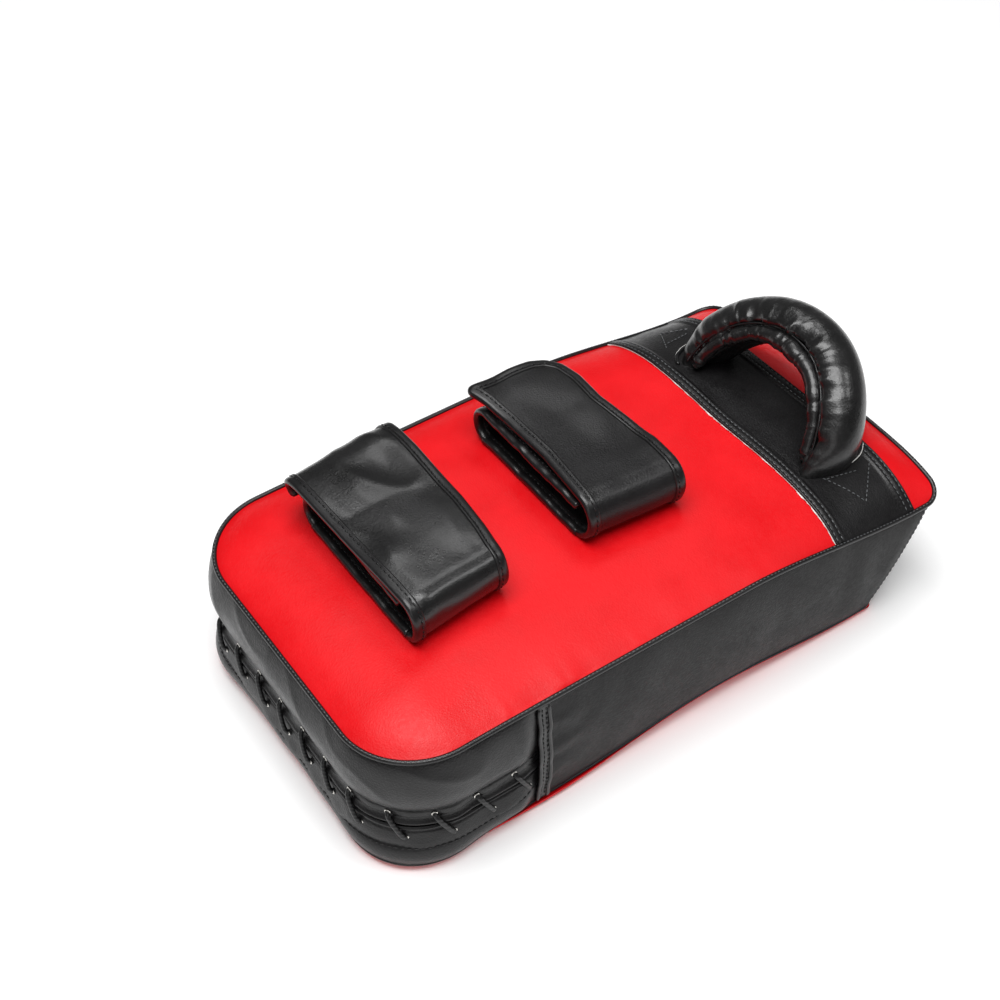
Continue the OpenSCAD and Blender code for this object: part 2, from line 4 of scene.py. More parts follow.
import bpy
import numpy as np
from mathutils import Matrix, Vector


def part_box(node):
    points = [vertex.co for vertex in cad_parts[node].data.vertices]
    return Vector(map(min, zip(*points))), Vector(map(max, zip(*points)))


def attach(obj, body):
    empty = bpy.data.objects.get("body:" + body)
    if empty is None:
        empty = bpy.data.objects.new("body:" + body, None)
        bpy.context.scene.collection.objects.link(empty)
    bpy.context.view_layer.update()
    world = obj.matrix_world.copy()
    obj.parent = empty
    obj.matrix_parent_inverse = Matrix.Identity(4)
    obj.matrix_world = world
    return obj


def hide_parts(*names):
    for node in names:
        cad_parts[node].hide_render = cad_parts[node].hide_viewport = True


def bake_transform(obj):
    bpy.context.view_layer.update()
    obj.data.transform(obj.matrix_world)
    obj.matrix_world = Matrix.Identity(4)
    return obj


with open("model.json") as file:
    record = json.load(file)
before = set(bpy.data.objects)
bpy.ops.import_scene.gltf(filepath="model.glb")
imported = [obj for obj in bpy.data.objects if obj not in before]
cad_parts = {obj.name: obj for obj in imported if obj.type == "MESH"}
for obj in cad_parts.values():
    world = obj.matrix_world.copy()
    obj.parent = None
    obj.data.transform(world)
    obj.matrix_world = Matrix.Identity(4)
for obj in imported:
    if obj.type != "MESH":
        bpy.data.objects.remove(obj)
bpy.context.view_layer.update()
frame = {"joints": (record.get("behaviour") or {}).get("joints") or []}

# A padded forearm shield. Lengths in the shape functions are millimetres.
MM = 0.001
PI = math.pi


# ---------------------------------------------------------------- tools


def mm_box(node):
    low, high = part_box(node)
    return np.array(low) / MM, np.array(high) / MM


def ease(t):
    t = np.clip(t, 0, 1)
    return t * t * (3 - 2 * t)


def mix(a, b, t):
    return a + (b - a) * t


def hill(x, middle, width):
    return np.exp(-(((x - middle) / width) ** 2))


def lumps(x, y, seed=0):
    """Smooth noise from -1 to 1 with bumps about one unit wide."""
    x, y = np.broadcast_arrays(np.asarray(x, float), np.asarray(y, float))
    i, j = np.floor(x), np.floor(y)
    fx, fy = ease(x - i), ease(y - j)

    def corner(a, b):
        return np.modf(np.abs(np.sin(a * 127.1 + b * 311.7 + seed * 74.7)) * 43758.5453)[0] * 2 - 1

    low = mix(corner(i, j), corner(i + 1, j), fx)
    high = mix(corner(i, j + 1), corner(i + 1, j + 1), fx)
    return mix(low, high, fy)


def creases(x, y, seed=0):
    """Narrow ridges, 0 to 1, that wander like creases in leathercloth."""
    return (1 - np.abs(lumps(x, y, seed))) ** 3.5


def select_only(piece):
    bpy.ops.object.select_all(action="DESELECT")
    piece.select_set(True)
    bpy.context.view_layer.objects.active = piece


def in_edit_mode(piece, *steps):
    select_only(piece)
    bpy.ops.object.mode_set(mode="EDIT")
    bpy.ops.mesh.select_all(action="SELECT")
    for step in steps:
        step()
    bpy.ops.object.mode_set(mode="OBJECT")


def modify(piece, kind, **settings):
    select_only(piece)
    bpy.ops.object.modifier_add(type=kind)
    modifier = piece.modifiers[-1]
    for key, value in settings.items():
        setattr(modifier, key, value)
    bpy.ops.object.modifier_apply(modifier=modifier.name)
    return piece


def points_of(piece):
    co = np.empty(len(piece.data.vertices) * 3, np.float32)
    piece.data.vertices.foreach_get("co", co)
    return co.reshape(-1, 3).astype(float)


def set_points(piece, co):
    piece.data.vertices.foreach_set("co", np.asarray(co, np.float32).ravel())
    piece.data.update()


def grid(name, across, along, place, flip=False, weld=False):
    """A cover cut as a grid, whose corners go where place(u, v) says, in
    millimetres; weld closes it where its edges meet."""
    bpy.ops.object.select_all(action="DESELECT")
    bpy.ops.mesh.primitive_grid_add(x_subdivisions=across, y_subdivisions=along, size=1)
    piece = bpy.context.active_object
    piece.name = piece.data.name = name
    co = points_of(piece)
    u = np.round((co[:, 0] + 0.5) * across) / across
    v = np.round((co[:, 1] + 0.5) * along) / along
    x, y, z = place(u, v)
    set_points(piece, np.stack(np.broadcast_arrays(x, y, z), 1) * MM)
    if weld:
        in_edit_mode(
            piece,
            lambda: bpy.ops.mesh.remove_doubles(threshold=1e-6),
            lambda: bpy.ops.mesh.normals_make_consistent(inside=False),
        )
    elif flip:
        in_edit_mode(piece, bpy.ops.mesh.flip_normals)
    select_only(piece)
    bpy.ops.object.shade_smooth()
    return piece


def unit(v):
    return v / np.maximum(np.linalg.norm(v, axis=-1, keepdims=True), 1e-12)


def even(path, step=None, count=None):
    """The path again with its points evenly spaced."""
    path = np.asarray(path, float)
    run = np.r_[0, np.cumsum(np.linalg.norm(np.diff(path, axis=0), axis=1))]
    n = count or max(2, int(round(run[-1] / step)) + 1)
    s = np.linspace(0, run[-1], n)
    return np.stack([np.interp(s, run, path[:, k]) for k in range(3)], 1)


def soften(path, times):
    """The path with its corners rounded off, more with more times."""
    for _ in range(times):
        path = path.copy()
        path[1:-1] = (path[:-2] + 2 * path[1:-1] + path[2:]) / 4
    return path


def sweep(name, path, side, section, around, looped=False):
    """Carries a closed section along a path and closes its ends.
    side gives the direction of the section's first axis at each point;
    section(u, a) gives how far a corner lies along the first and second axis."""
    path = np.asarray(path, float)
    n = len(path)
    if looped:
        ahead = np.roll(path, -1, 0) - np.roll(path, 1, 0)
    else:
        ahead = np.gradient(path, axis=0)
    ahead = unit(ahead)
    side = np.broadcast_to(np.asarray(side, float), path.shape)
    side = unit(side - (side * ahead).sum(1, keepdims=True) * ahead)
    up = np.cross(ahead, side)
    rings = n if looped else n + 1

    def place(u, v):
        ring = np.round(u * rings).astype(int)
        if looped:
            at, full = ring % n, np.ones(len(u))
        else:
            at = np.clip(ring - 1, 0, n - 1)
            full = ((ring > 0) & (ring < n + 1)).astype(float)
        w, h = section(at / (n - 1), 2 * PI * v)
        p = path[at] + side[at] * (w * full)[:, None] + up[at] * (h * full)[:, None]
        return p[:, 0], p[:, 1], p[:, 2]

    return grid(name, rings, around, place, weld=True)


def tube(name, path, radius, around, side=(0, 0, 1), looped=False):
    """A round cord or piping along a path."""
    def section(u, a):
        r = radius(u) if callable(radius) else radius
        return r * np.cos(a), r * np.sin(a)

    return sweep(name, path, side, section, around, looped)


def row_of(one, path, pitch):
    """Copies of one small piece along a path, one every pitch millimetres."""
    line = bpy.data.curves.new("line", "CURVE")
    line.dimensions = "3D"
    spline = line.splines.new("POLY")
    spline.points.add(len(path) - 1)
    for point, p in zip(spline.points, np.asarray(path) * MM):
        point.co = (*p, 1)
    guide = bpy.data.objects.new("guide", line)
    bpy.context.scene.collection.objects.link(guide)
    length = float(np.linalg.norm(np.diff(path, axis=0), axis=1).sum())
    modify(
        one, "ARRAY", fit_type="FIXED_COUNT", count=max(1, int(length / pitch)),
        use_relative_offset=False, use_constant_offset=True,
        constant_offset_displace=(pitch * MM, 0, 0),
    )
    modify(one, "CURVE", object=guide, deform_axis="POS_X")
    bpy.data.objects.remove(guide)
    return one


def stitches(name, path, pitch, length, thick):
    """A row of sewing thread: short rounded stitches with a dip between them."""
    path = np.asarray(path, float)
    bpy.ops.object.select_all(action="DESELECT")
    bpy.ops.mesh.primitive_uv_sphere_add(segments=6, ring_count=4, radius=1)
    one = bpy.context.active_object
    one.name = one.data.name = name
    co = points_of(one)
    set_points(one, co[:, [2, 1, 0]] * np.array([length / 2, thick, thick]) * MM
               + np.array([length / 2 * MM, 0, 0]))
    in_edit_mode(one, lambda: bpy.ops.mesh.normals_make_consistent(inside=False))
    row_of(one, path, pitch)
    select_only(one)
    bpy.ops.object.shade_smooth()
    return one


def join(name, pieces):
    bpy.ops.object.select_all(action="DESELECT")
    for piece in pieces:
        piece.select_set(True)
    bpy.context.view_layer.objects.active = pieces[0]
    bpy.ops.object.join()
    pieces[0].name = pieces[0].data.name = name
    return pieces[0]


# ---------------------------------------------------------------- materials


def linear(hex_colour):
    """An sRGB hex value as the linear colour that a shader takes."""
    parts = [int(hex_colour[i:i + 2], 16) / 255 for i in (1, 3, 5)]
    return tuple(c / 12.92 if c <= 0.04045 else ((c + 0.055) / 1.055) ** 2.4 for c in parts) + (1,)


def add(tree, kind, settings=None, **inputs):
    """Adds a node, sets its values and links what comes from other nodes."""
    node = tree.nodes.new("ShaderNode" + kind)
    for key, value in (settings or {}).items():
        setattr(node, key, value)
    for key, value in inputs.items():
        socket = node.inputs[int(key[1:]) if key[0] == "i" and key[1:].isdigit() else key.replace("_", " ")]
        if isinstance(value, bpy.types.NodeSocket):
            tree.links.new(value, socket)
        else:
            socket.default_value = value
    return node


def new_material(name):
    material = bpy.data.materials.new(name)
    material.use_nodes = True
    tree = material.node_tree
    tree.nodes.clear()
    return material, tree


def leathercloth(name, dark, light, rough, grain_mm, grain_depth, coat, patch_mm, ior):
    """PU leathercloth: a soft film pressed with a fine hide grain over a knit.
    The film gives a satin gloss, the grain breaks the highlight up, and hand
    marks leave duller and shinier patches. The grain is drawn a little coarser
    than the real one, so that it shows."""
    material, tree = new_material(name)
    where = add(tree, "TexCoord").outputs["Object"]
    cells = add(tree, "TexVoronoi", {"feature": "SMOOTH_F1"}, Vector=where,
                Scale=1000 / grain_mm, Smoothness=0.45)
    fine = add(tree, "TexNoise", Vector=where, Scale=1000 / (grain_mm * 0.6), Detail=3, Roughness=0.6)
    patches = add(tree, "TexNoise", Vector=where, Scale=1000 / patch_mm, Detail=4, Roughness=0.55)
    flecks = add(tree, "TexNoise", Vector=where, Scale=1000 / 2.3, Detail=2, Roughness=0.5)
    tone = add(tree, "ValToRGB", Fac=patches.outputs["Fac"])
    tone.color_ramp.elements[0].position, tone.color_ramp.elements[1].position = 0.3, 0.72
    tone.color_ramp.elements[0].color, tone.color_ramp.elements[1].color = linear(dark), linear(light)
    worn = add(tree, "MapRange", Value=patches.outputs["Fac"], From_Min=0.3, From_Max=0.7,
               To_Min=rough - 0.05, To_Max=rough + 0.07)
    speck = add(tree, "MapRange", Value=flecks.outputs["Fac"], From_Min=0.35, From_Max=0.65,
                To_Min=-0.04, To_Max=0.04)
    roughness = add(tree, "Math", {"operation": "ADD"}, i0=worn.outputs["Result"], i1=speck.outputs["Result"])
    relief = add(tree, "Math", {"operation": "MULTIPLY_ADD"}, i0=cells.outputs["Distance"], i1=1.0,
                 i2=fine.outputs["Fac"])
    bump = add(tree, "Bump", Height=relief.outputs[0], Strength=grain_depth, Distance=0.00035)
    shader = add(tree, "BsdfPrincipled", Base_Color=tone.outputs["Color"], Roughness=roughness.outputs[0],
                 Normal=bump.outputs["Normal"], IOR=ior)
    shader.inputs["Coat Weight"].default_value = coat
    shader.inputs["Coat Roughness"].default_value = 0.16
    shader.inputs["Coat IOR"].default_value = 1.45
    add(tree, "OutputMaterial", Surface=shader.outputs["BSDF"])
    return material


red_leathercloth = leathercloth(
    "Red PU leathercloth", "#D6050F", "#E20A15", 0.44, 1.0, 0.22, 0.0, 26, 1.36)
black_leathercloth = leathercloth(
    "Black PU leathercloth", "#0D0C0D", "#151415", 0.38, 1.1, 0.35, 0.1, 26, 1.4)
matt_leathercloth = leathercloth(
    "Matt black PU leathercloth", "#0C0B0C", "#131213", 0.46, 1.1, 0.3, 0.0, 26, 1.3)
glossy_leathercloth = leathercloth(
    "Soft black PU leathercloth", "#0A0A0A", "#121112", 0.33, 1.3, 0.25, 0.35, 34, 1.5)


def plain_film(name, colour, rough, coat=0.0, grain_mm=0.8, depth=0.2):
    """Folded PU tape: the same film, stretched smooth over a fold."""
    material, tree = new_material(name)
    where = add(tree, "TexCoord").outputs["Object"]
    noise = add(tree, "TexNoise", Vector=where, Scale=1000 / grain_mm, Detail=3, Roughness=0.6)
    worn = add(tree, "MapRange", Value=noise.outputs["Fac"], From_Min=0.3, From_Max=0.7,
                 To_Min=rough - 0.06, To_Max=rough + 0.06)
    bump = add(tree, "Bump", Height=noise.outputs["Fac"], Strength=depth, Distance=0.0003)
    shader = add(tree, "BsdfPrincipled", Base_Color=linear(colour), Roughness=worn.outputs["Result"],
                 Normal=bump.outputs["Normal"], IOR=1.5)
    shader.inputs["Coat Weight"].default_value = coat
    shader.inputs["Coat Roughness"].default_value = 0.2
    add(tree, "OutputMaterial", Surface=shader.outputs["BSDF"])
    return material


binding_tape = plain_film("Black PU binding tape", "#0E0D0E", 0.34, 0.1)
welt_tape = plain_film("Black PU welt", "#0D0C0D", 0.36, 0.1)


def twisted_thread(name, colour, rough, pitch_mm):
    """Polyester sewing thread or waxed lace: a twist that shows as slanted ribs."""
    material, tree = new_material(name)
    where = add(tree, "TexCoord").outputs["Object"]
    turned = add(tree, "Mapping", Vector=where, Rotation=(0.6, 0.5, 0.8))
    ribs = add(tree, "TexWave", {"bands_direction": "DIAGONAL"}, Vector=turned.outputs["Vector"],
               Scale=1000 / pitch_mm / 6.3, Distortion=1.5, Detail=1)
    bump = add(tree, "Bump", Height=ribs.outputs["Fac"], Strength=0.4, Distance=0.0003)
    shader = add(tree, "BsdfPrincipled", Base_Color=linear(colour), Roughness=rough,
                 Normal=bump.outputs["Normal"], IOR=1.5)
    add(tree, "OutputMaterial", Surface=shader.outputs["BSDF"])
    return material


black_thread = twisted_thread("Black polyester thread", "#0B0B0C", 0.34, 0.5)
# Black glossy thread drawn grey: the grey is a painted highlight that stands in for the glints of its
# stitches
glint_grey_thread = twisted_thread("Grey thread for painted glints", "#5A5C5E", 0.28, 0.5)
waxed_lace = twisted_thread("Waxed black lace", "#101011", 0.42, 0.9)


def knit(name, colour, pitch_mm, rough=0.9):
    """Knitted backing or looped tape: small even stitches with no gloss."""
    material, tree = new_material(name)
    where = add(tree, "TexCoord").outputs["Object"]
    loops = add(tree, "TexVoronoi", Vector=where, Scale=1000 / pitch_mm)
    bump = add(tree, "Bump", Height=loops.outputs["Distance"], Strength=0.5, Distance=0.0004)
    shader = add(tree, "BsdfPrincipled", Base_Color=linear(colour), Roughness=rough,
                 Normal=bump.outputs["Normal"], IOR=1.45)
    shader.inputs["Sheen Weight"].default_value = 0.3
    add(tree, "OutputMaterial", Surface=shader.outputs["BSDF"])
    return material


white_backing = knit("White knitted backing", "#F2F0EC", 0.6)
loop_tape = knit("Black loop tape", "#111113", 0.9)
hook_tape = knit("Black hook tape", "#0C0C0D", 1.4, 0.6)


def metal(name, colour, rough):
    """Nickel plate on a stamped eyelet: bright, with fine rubbed marks."""
    material, tree = new_material(name)
    where = add(tree, "TexCoord").outputs["Object"]
    rubbed = add(tree, "TexNoise", Vector=where, Scale=1000 / 0.7, Detail=3)
    worn = add(tree, "MapRange", Value=rubbed.outputs["Fac"], From_Min=0.3, From_Max=0.7,
                 To_Min=rough - 0.07, To_Max=rough + 0.07)
    shader = add(tree, "BsdfPrincipled", Base_Color=linear(colour), Metallic=1.0,
                 Roughness=worn.outputs["Result"])
    add(tree, "OutputMaterial", Surface=shader.outputs["BSDF"])
    return material


nickel = metal("Nickel plated steel", "#D9D6D0", 0.28)


def dress(piece, material, slot, body="pad", replaces=()):
    """Gives a piece its material, the body it moves with and the nodes it stands for."""
    piece.data.materials.clear()
    piece.data.materials.append(material)
    if body:
        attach(piece, body)
    if replaces:
        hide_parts(*replaces)
    return piece


# ---------------------------------------------------------------- the pad's form

panel_low, panel_high = mm_box("back_panel")
strip_high = mm_box("end_strip")[1]
band_low, band_high = mm_box("handle_band")
upper_low, upper_high = mm_box("lace_upper_panel")

LACE = panel_low[0] - 1
HANDLE = strip_high[0] + 4
HALF = panel_high[1]
CORNER = 43.0
SEAM = upper_high[0]
FOLD = upper_low[2] + 3.0
END_LEAN, END_DROP = 36, 66
BOTTOM_END = HANDLE - END_LEAN
BLUNT = 11.0
TURN = math.radians(60)
TOP = panel_high[2] + 0.8
EDGE = upper_high[2] + 0.5
BAND_IN = band_low[0] + 2
BAND_OUT = band_high[0]

RUN = HANDLE - (LACE + CORNER)
ARC = PI / 2 * CORNER
END = 2 * (HALF - CORNER)
AROUND = 2 * RUN + 2 * ARC + END
SEAM_S = HANDLE - SEAM
BEND = BLUNT * TURN


def end_x(y, end=None):
    """Where the handle end lies in x, with its blunt corners."""
    over = np.clip(np.abs(y) - (HALF - BLUNT), 0, BLUNT)
    return (HANDLE if end is None else end) - BLUNT + np.sqrt(np.clip(BLUNT ** 2 - over ** 2, 0, None))


def side_run(s, end):
    """From the corner seam along the side: x, y and the way out (y positive)."""
    s = np.asarray(s, float)
    turn = TURN - np.clip(s / BLUNT, 0, TURN)
    share = np.clip((s - BEND) / (HANDLE - BLUNT - SEAM), 0, None)
    x = np.where(s < BEND, end - BLUNT + BLUNT * np.sin(turn), end - BLUNT - share * (end - BLUNT - SEAM))
    return x, HALF - BLUNT + BLUNT * np.cos(turn), np.sin(turn), np.cos(turn)


def outline(s):
    """Point and outward direction on the plan outline, from the near handle
    corner past the laced end to the far handle corner."""
    s = np.asarray(s, float)
    a = np.clip((s - RUN) / CORNER, 0, PI / 2)
    b = np.clip((s - RUN - ARC - END) / CORNER, 0, PI / 2)
    near, first, end, second = s < RUN, s < RUN + ARC, s < RUN + ARC + END, s < RUN + 2 * ARC + END
    x = np.select(
        [near, first, end, second],
        [HANDLE - s, LACE + CORNER - CORNER * np.sin(a), LACE + 0 * s, LACE + CORNER - CORNER * np.cos(b)],
        s - RUN - 2 * ARC - END + LACE + CORNER)
    y = np.select(
        [near, first, end, second],
        [-HALF + 0 * s, -(HALF - CORNER) - CORNER * np.cos(a), s - RUN - ARC - (HALF - CORNER),
         HALF - CORNER + CORNER * np.sin(b)],
        HALF + 0 * s)
    nx = np.select([near, first, end, second], [0 * s, -np.sin(a), -1 + 0 * s, -np.cos(b)], 0 * s)
    ny = np.select([near, first, end, second], [-1 + 0 * s, -np.cos(a), 0 * s, np.sin(b)], 1 + 0 * s)
    return x, y, nx, ny


def inset(x, y):
    """Distance in from the sides and the laced end."""
    dx, dy = LACE + CORNER - x, np.abs(y) - (HALF - CORNER)
    corner = CORNER - np.hypot(np.maximum(dx, 0), np.maximum(dy, 0))
    return np.where((dx > 0) & (dy > 0), corner, np.minimum(HALF - np.abs(y), x - LACE))


def edge_z(x):
    """Height of the arm face's seam: it drops towards the handle end."""
    return EDGE - 3 * np.clip(x / LACE, 0, 1) ** 6 - 15.5 * ease((x - 40) / 135)


def top_z(x):
    """Height of the arm face along the middle."""
    return TOP - 4.5 * ease((x - 30) / 130) - 10.5 * np.clip((x - 160) / 28, 0, 1.2) ** 2


def puckers(x, y):
    """Small gathers where the cover is sewn in, strongest by the side seam."""
    by_seam = hill(x, SEAM + 4, 30) * 0.9 + 0.35
    depth = np.exp(-np.clip(inset(x, y), 0, None) / 9)
    fine = 0.5 * lumps(x / 3.4, y / 60, 4) * np.exp(-np.clip(inset(x, y), 0, None) / 6)
    fine = fine * (0.3 + hill(x, SEAM + 12, 45))
    return by_seam * depth * 1.1 * lumps(x / 10, y / 60, 3) + fine


def face(x, y):
    """Height of the arm face."""
    full = 1 - (1 - np.clip(inset(x, y) / HALF, 0, 1)) ** 5
    dents = 0.5 * lumps(x / 55, y / 48, 1) + 0.25 * lumps(x / 21, y / 23, 2)
    crown = edge_z(x) + (top_z(x) - edge_z(x)) * full
    return crown + dents * ease(inset(x, y) / 14) + puckers(x, y) * ease(inset(x, y) / 3)


def sole_seam(x):
    """Height of the strike face's seam, arched in the middle of the pad."""
    return 4.5 + 9 * np.cos(np.clip((x - 25) / 110, -1, 1) * PI / 2) ** 2


def sole(x, y):
    """Height of the strike face."""
    v = 1 - np.clip(np.minimum(inset(x, y), BOTTOM_END - x) / HALF, 0, 1)
    return sole_seam(x) - 4.5 * np.sqrt(np.clip(1 - v ** 8, 0, 1))


def lace_left(y):
    """The laced end's outline as x for a given y."""
    over = np.clip(np.abs(y) - (HALF - CORNER), 0, CORNER)
    return LACE + CORNER - np.sqrt(np.clip(CORNER ** 2 - over ** 2, 0, None))


def spread(v):
    """From side to side, with finer steps next to the edges."""
    return HALF * np.sin((v - 0.5) * PI)


# ---------------------------------------------------------------- red faces


def band_in(y):
    """The band's edge on the strap side."""
    return BAND_IN + 0.6 - 0.6 * y / HALF + 0.3 * lumps(y / 30, 0, 5)


def band_out(y):
    """The band's edge on the handle end's side."""
    return BAND_OUT - 2.2 - 3.2 * y / HALF + 0.3 * lumps(y / 28, 0, 6)


def arm_face(u, v):
    y = spread(v)
    x = mix(lace_left(y), band_in(y) + 4, u)
    return x, y, face(x, y)


dress(grid("arm_face", 150, 110, arm_face), red_leathercloth, "red_cover",
      replaces=("back_panel", "arm_foam"))


def strip_face(u, v):
    y = spread(v)
    x = mix(band_out(y) - 4, end_x(y), u)
    return x, y, face(x, y)


dress(grid("end_strip_cover", 16, 110, strip_face), red_leathercloth, "red_cover", replaces=("end_strip",))


def strike_face(u, v):
    """The strike face: its rim swells past the seam at the sides and corners."""
    y = spread(v)
    x = mix(lace_left(y), end_x(y, BOTTOM_END), 0.5 - 0.5 * np.cos(u * PI))
    z = sole(x, y)
    cheek = (1.6 + 2.6 * hill(x, SEAM, 52)) * hill(inset(x, y), 1.9, 2.6)
    gx, gy = np.minimum(x - (LACE + CORNER), 0), np.maximum(np.abs(y) - (HALF - CORNER), 0)
    far = np.maximum(np.hypot(gx, gy), 1e-6)
    push = 6.4 * np.exp(-((inset(x, y) / 7) ** 2)) * np.clip(2 * np.abs(gx) * gy / far ** 2, 0, 1)
    push = push + cheek
    return x + gx / far * push, y + np.sign(y) * np.where(far > 1e-5, gy / far, 0) * push, z


dress(grid("strike_face", 150, 90, strike_face, flip=True), red_leathercloth, "red_cover",
      replaces=("strike_panel", "strike_foam"))

# ---------------------------------------------------------------- gussets


SIDE_RUN = BEND + HANDLE - BLUNT - SEAM


def side_wall(s, t, side):
    """Side gusset: s runs from the corner seam to the side seam, t down the wall."""
    x0, y0, nx, ny = side_run(s, HANDLE)
    x1, y1, _, _ = side_run(s, BOTTOM_END)
    z = mix(face(x0, y0), sole_seam(x1), t)
    x, y = mix(x0, x1, t), mix(y0, y1, t)
    swell = 3.2 * np.sin(PI * np.clip(t, 0, 1)) ** 0.7 * ease(s / 26 + 0.15)
    waves = 0.8 * lumps(x / 34, z / 60, 11) + 0.4 * lumps(x / 13, z / 38, 12)
    drag = 0.6 * hill(x, SEAM + 10, 14) * np.sin(z / 3.4 + lumps(x / 9, z / 9, 13))
    out = swell + (waves + drag) * np.sin(PI * np.clip(t, 0, 1)) ** 0.5
    return x + nx * out, side * (y + ny * out), z


for side, name in ((-1, "near"), (1, "far")):
    dress(
        grid(f"side_gusset_cover_{name}", 150, 44,
             lambda u, v, side=side: side_wall(u ** 1.3 * SIDE_RUN, v, side), flip=side > 0),
        matt_leathercloth, "black_cover",
        replaces=(f"side_gusset_{name}",) + (("core_foam",) if side < 0 else ()))


END_HALF = HALF - BLUNT + BLUNT * math.cos(TURN)


def end_wall(u, t):
    """Gusset of the handle end, which leans in towards the strike face."""
    y = END_HALF * np.sin((u - 0.5) * PI)
    x0, x1 = end_x(y), end_x(y, BOTTOM_END)
    swell = 5.0 * np.sin(PI * t) ** 0.7 * (1 - np.abs(y / END_HALF) ** 6) + 0.6 * lumps(y / 40, t * 2, 15)
    slope = math.hypot(END_LEAN, END_DROP)
    z = mix(face(x0, y), sole_seam(x1), t) - swell * END_LEAN / slope
    return mix(x0, x1, t) + swell * END_DROP / slope, y, z


dress(grid("end_gusset_cover", 90, 34, end_wall, flip=True), matt_leathercloth, "black_cover",
      replaces=("end_gusset",))

# ---------------------------------------------------------------- laced end

SLIT = (mm_box("upper_eyelet_strip")[0][2] + mm_box("lower_eyelet_strip")[1][2]) / 2
HEM = mm_box("lower_eyelet_strip")[0][2]
LACED = AROUND - 2 * SEAM_S
# How far out the upper panel swells and where its fold tucks in, and where
# the two strips lie at the slit and at the lower one's hem
SWELL, FOLD_AT, TUCK = 6.2, 0.82, 3.2
SLIT_UP_OUT, SLIT_LOW_OUT, HEM_OUT = 2.6, 2.4, 5.4


def laced_wall(s, z, out):
    """Point on the laced end: s along it, z up, out beyond the plan outline."""
    x, y, nx, ny = outline(SEAM_S + s)
    return x + nx * out, y + ny * out, z


def grow(s):
    """The laced panels lie flat at the side seams and fill out from there."""
    return mix(0.12, 1, at_seam(s))


def low_out(s):
    """The foot of the laced end bulges, most at its two corners."""
    first, last = SEAM - (LACE + CORNER) + ARC / 2, LACED - (SEAM - (LACE + CORNER) + ARC / 2)
    return 0.8 * at_seam(s) + 6.2 * (hill(s, first, 34) + hill(s, last, 34))


def hem(s):
    """Height of the lower strip's hem, a little raised at the side seams."""
    return HEM + 4.5 + 6 * np.exp(-np.minimum(s, LACED - s) / 40)


def at_seam(s):
    """0 at the side seams, 1 away from them."""
    return ease(np.minimum(s, LACED - s) / 16)


def hang(s):
    """How the fold sags and wanders along the laced end."""
    return 1.4 * lumps(s / 60, 0, 21) * at_seam(s)


def upper_panel(u, v):
    s = u * LACED
    x, _, _, _ = outline(SEAM_S + s)
    z = mix(edge_z(x), FOLD + hang(s), v)
    swell = SWELL * np.sin(PI * np.clip(v * FOLD_AT, 0, 1)) ** 0.75 * grow(s)
    soft = 0.8 * lumps(s / 26, v * 2.2, 22) + 0.9 * creases(s / 30 + v, v * 1.6, 23)
    soft = soft * np.sin(PI * v * 0.9) ** 0.6
    return laced_wall(s, z, swell + soft * at_seam(s))


def fold_out(s):
    """How far out the upper panel's lower edge lies."""
    return SWELL * math.sin(PI * FOLD_AT) ** 0.75 * grow(s)


piece = grid("laced_end_panel", 240, 26, upper_panel)
modify(piece, "SOLIDIFY", thickness=2.2 * MM, offset=-1)
dress(piece, black_leathercloth, "black_cover", replaces=("lace_upper_panel",))


def upper_strip(u, v):
    s = u * LACED
    z = mix(FOLD + 3, SLIT + 0.6, v) + hang(s) * (1 - v * 0.4)
    out = mix(fold_out(s) - TUCK * grow(s), SLIT_UP_OUT * grow(s), ease(v))
    out = out + 0.7 * lumps(s / 11, v * 1.5, 24) * at_seam(s)
    rolled_lip = 1.3 * hill(v, 0.9, 0.07) - 0.5 * hill(v, 0.72, 0.06)
    groove = 2.4 * hill(v, 0.2, 0.06) - 0.9 * hill(v, 0.32, 0.05) + 0.6 * hill(v, 0.43, 0.035)
    out = out + rolled_lip - groove * grow(s)
    return laced_wall(s, z, out)


def lower_strip(u, v):
    s = u * LACED
    z = mix(SLIT - 0.6, hem(s) - 1, v) + hang(s) * 0.5 * (1 - v)
    out = mix(SLIT_LOW_OUT, HEM_OUT, ease(v)) * grow(s) + 0.7 * lumps(s / 12, v * 1.8, 25) * at_seam(s)
    out = out + 1.3 * hill(v, 0.08, 0.07) - 0.5 * hill(v, 0.25, 0.06)
    return laced_wall(s, z, out)


for name, shape, node in (("upper_lace_strip", upper_strip, "upper_eyelet_strip"),
                          ("lower_lace_strip", lower_strip, "lower_eyelet_strip")):
    piece = grid(name, 240, 36, shape)
    modify(piece, "SOLIDIFY", thickness=2.0 * MM, offset=-1)
    modify(piece, "BEVEL", width=0.6 * MM, segments=2, limit_method="ANGLE", angle_limit=1.0)
    dress(piece, black_leathercloth, "black_cover", replaces=(node,))


def lower_panel(u, v):
    s = u * LACED
    x, _, _, _ = outline(SEAM_S + s)
    z = mix(hem(s) + 0.8, sole_seam(x) - 0.4, v)
    belly = (2.2 + 0.5 * lumps(s / 20, v, 26)) * np.sin(PI * v)
    return laced_wall(s, z, mix(4.4 * grow(s) + 0.8 * ease(v * 5), low_out(s), v) + belly * grow(s))


dress(grid("lower_end_panel", 240, 10, lower_panel), black_leathercloth, "black_cover",
      replaces=("lace_lower_panel",))


def tongue(u, v):
    """The strip behind the slit, which closes it."""
    s = u * LACED
    return laced_wall(s, mix(FOLD, HEM + 2, v), -1.5 + 0 * s)


dress(grid("tongue_behind_slit", 160, 4, tongue), black_leathercloth, "black_cover",
      replaces=("lace_tongue",))

# Eyelets and lace: each stitch runs down outside and climbs behind to the next
STITCHES = 15
MARGIN, SLANT, RISE = 14.0, 9.0, 17.0
LACE_R = 1.4
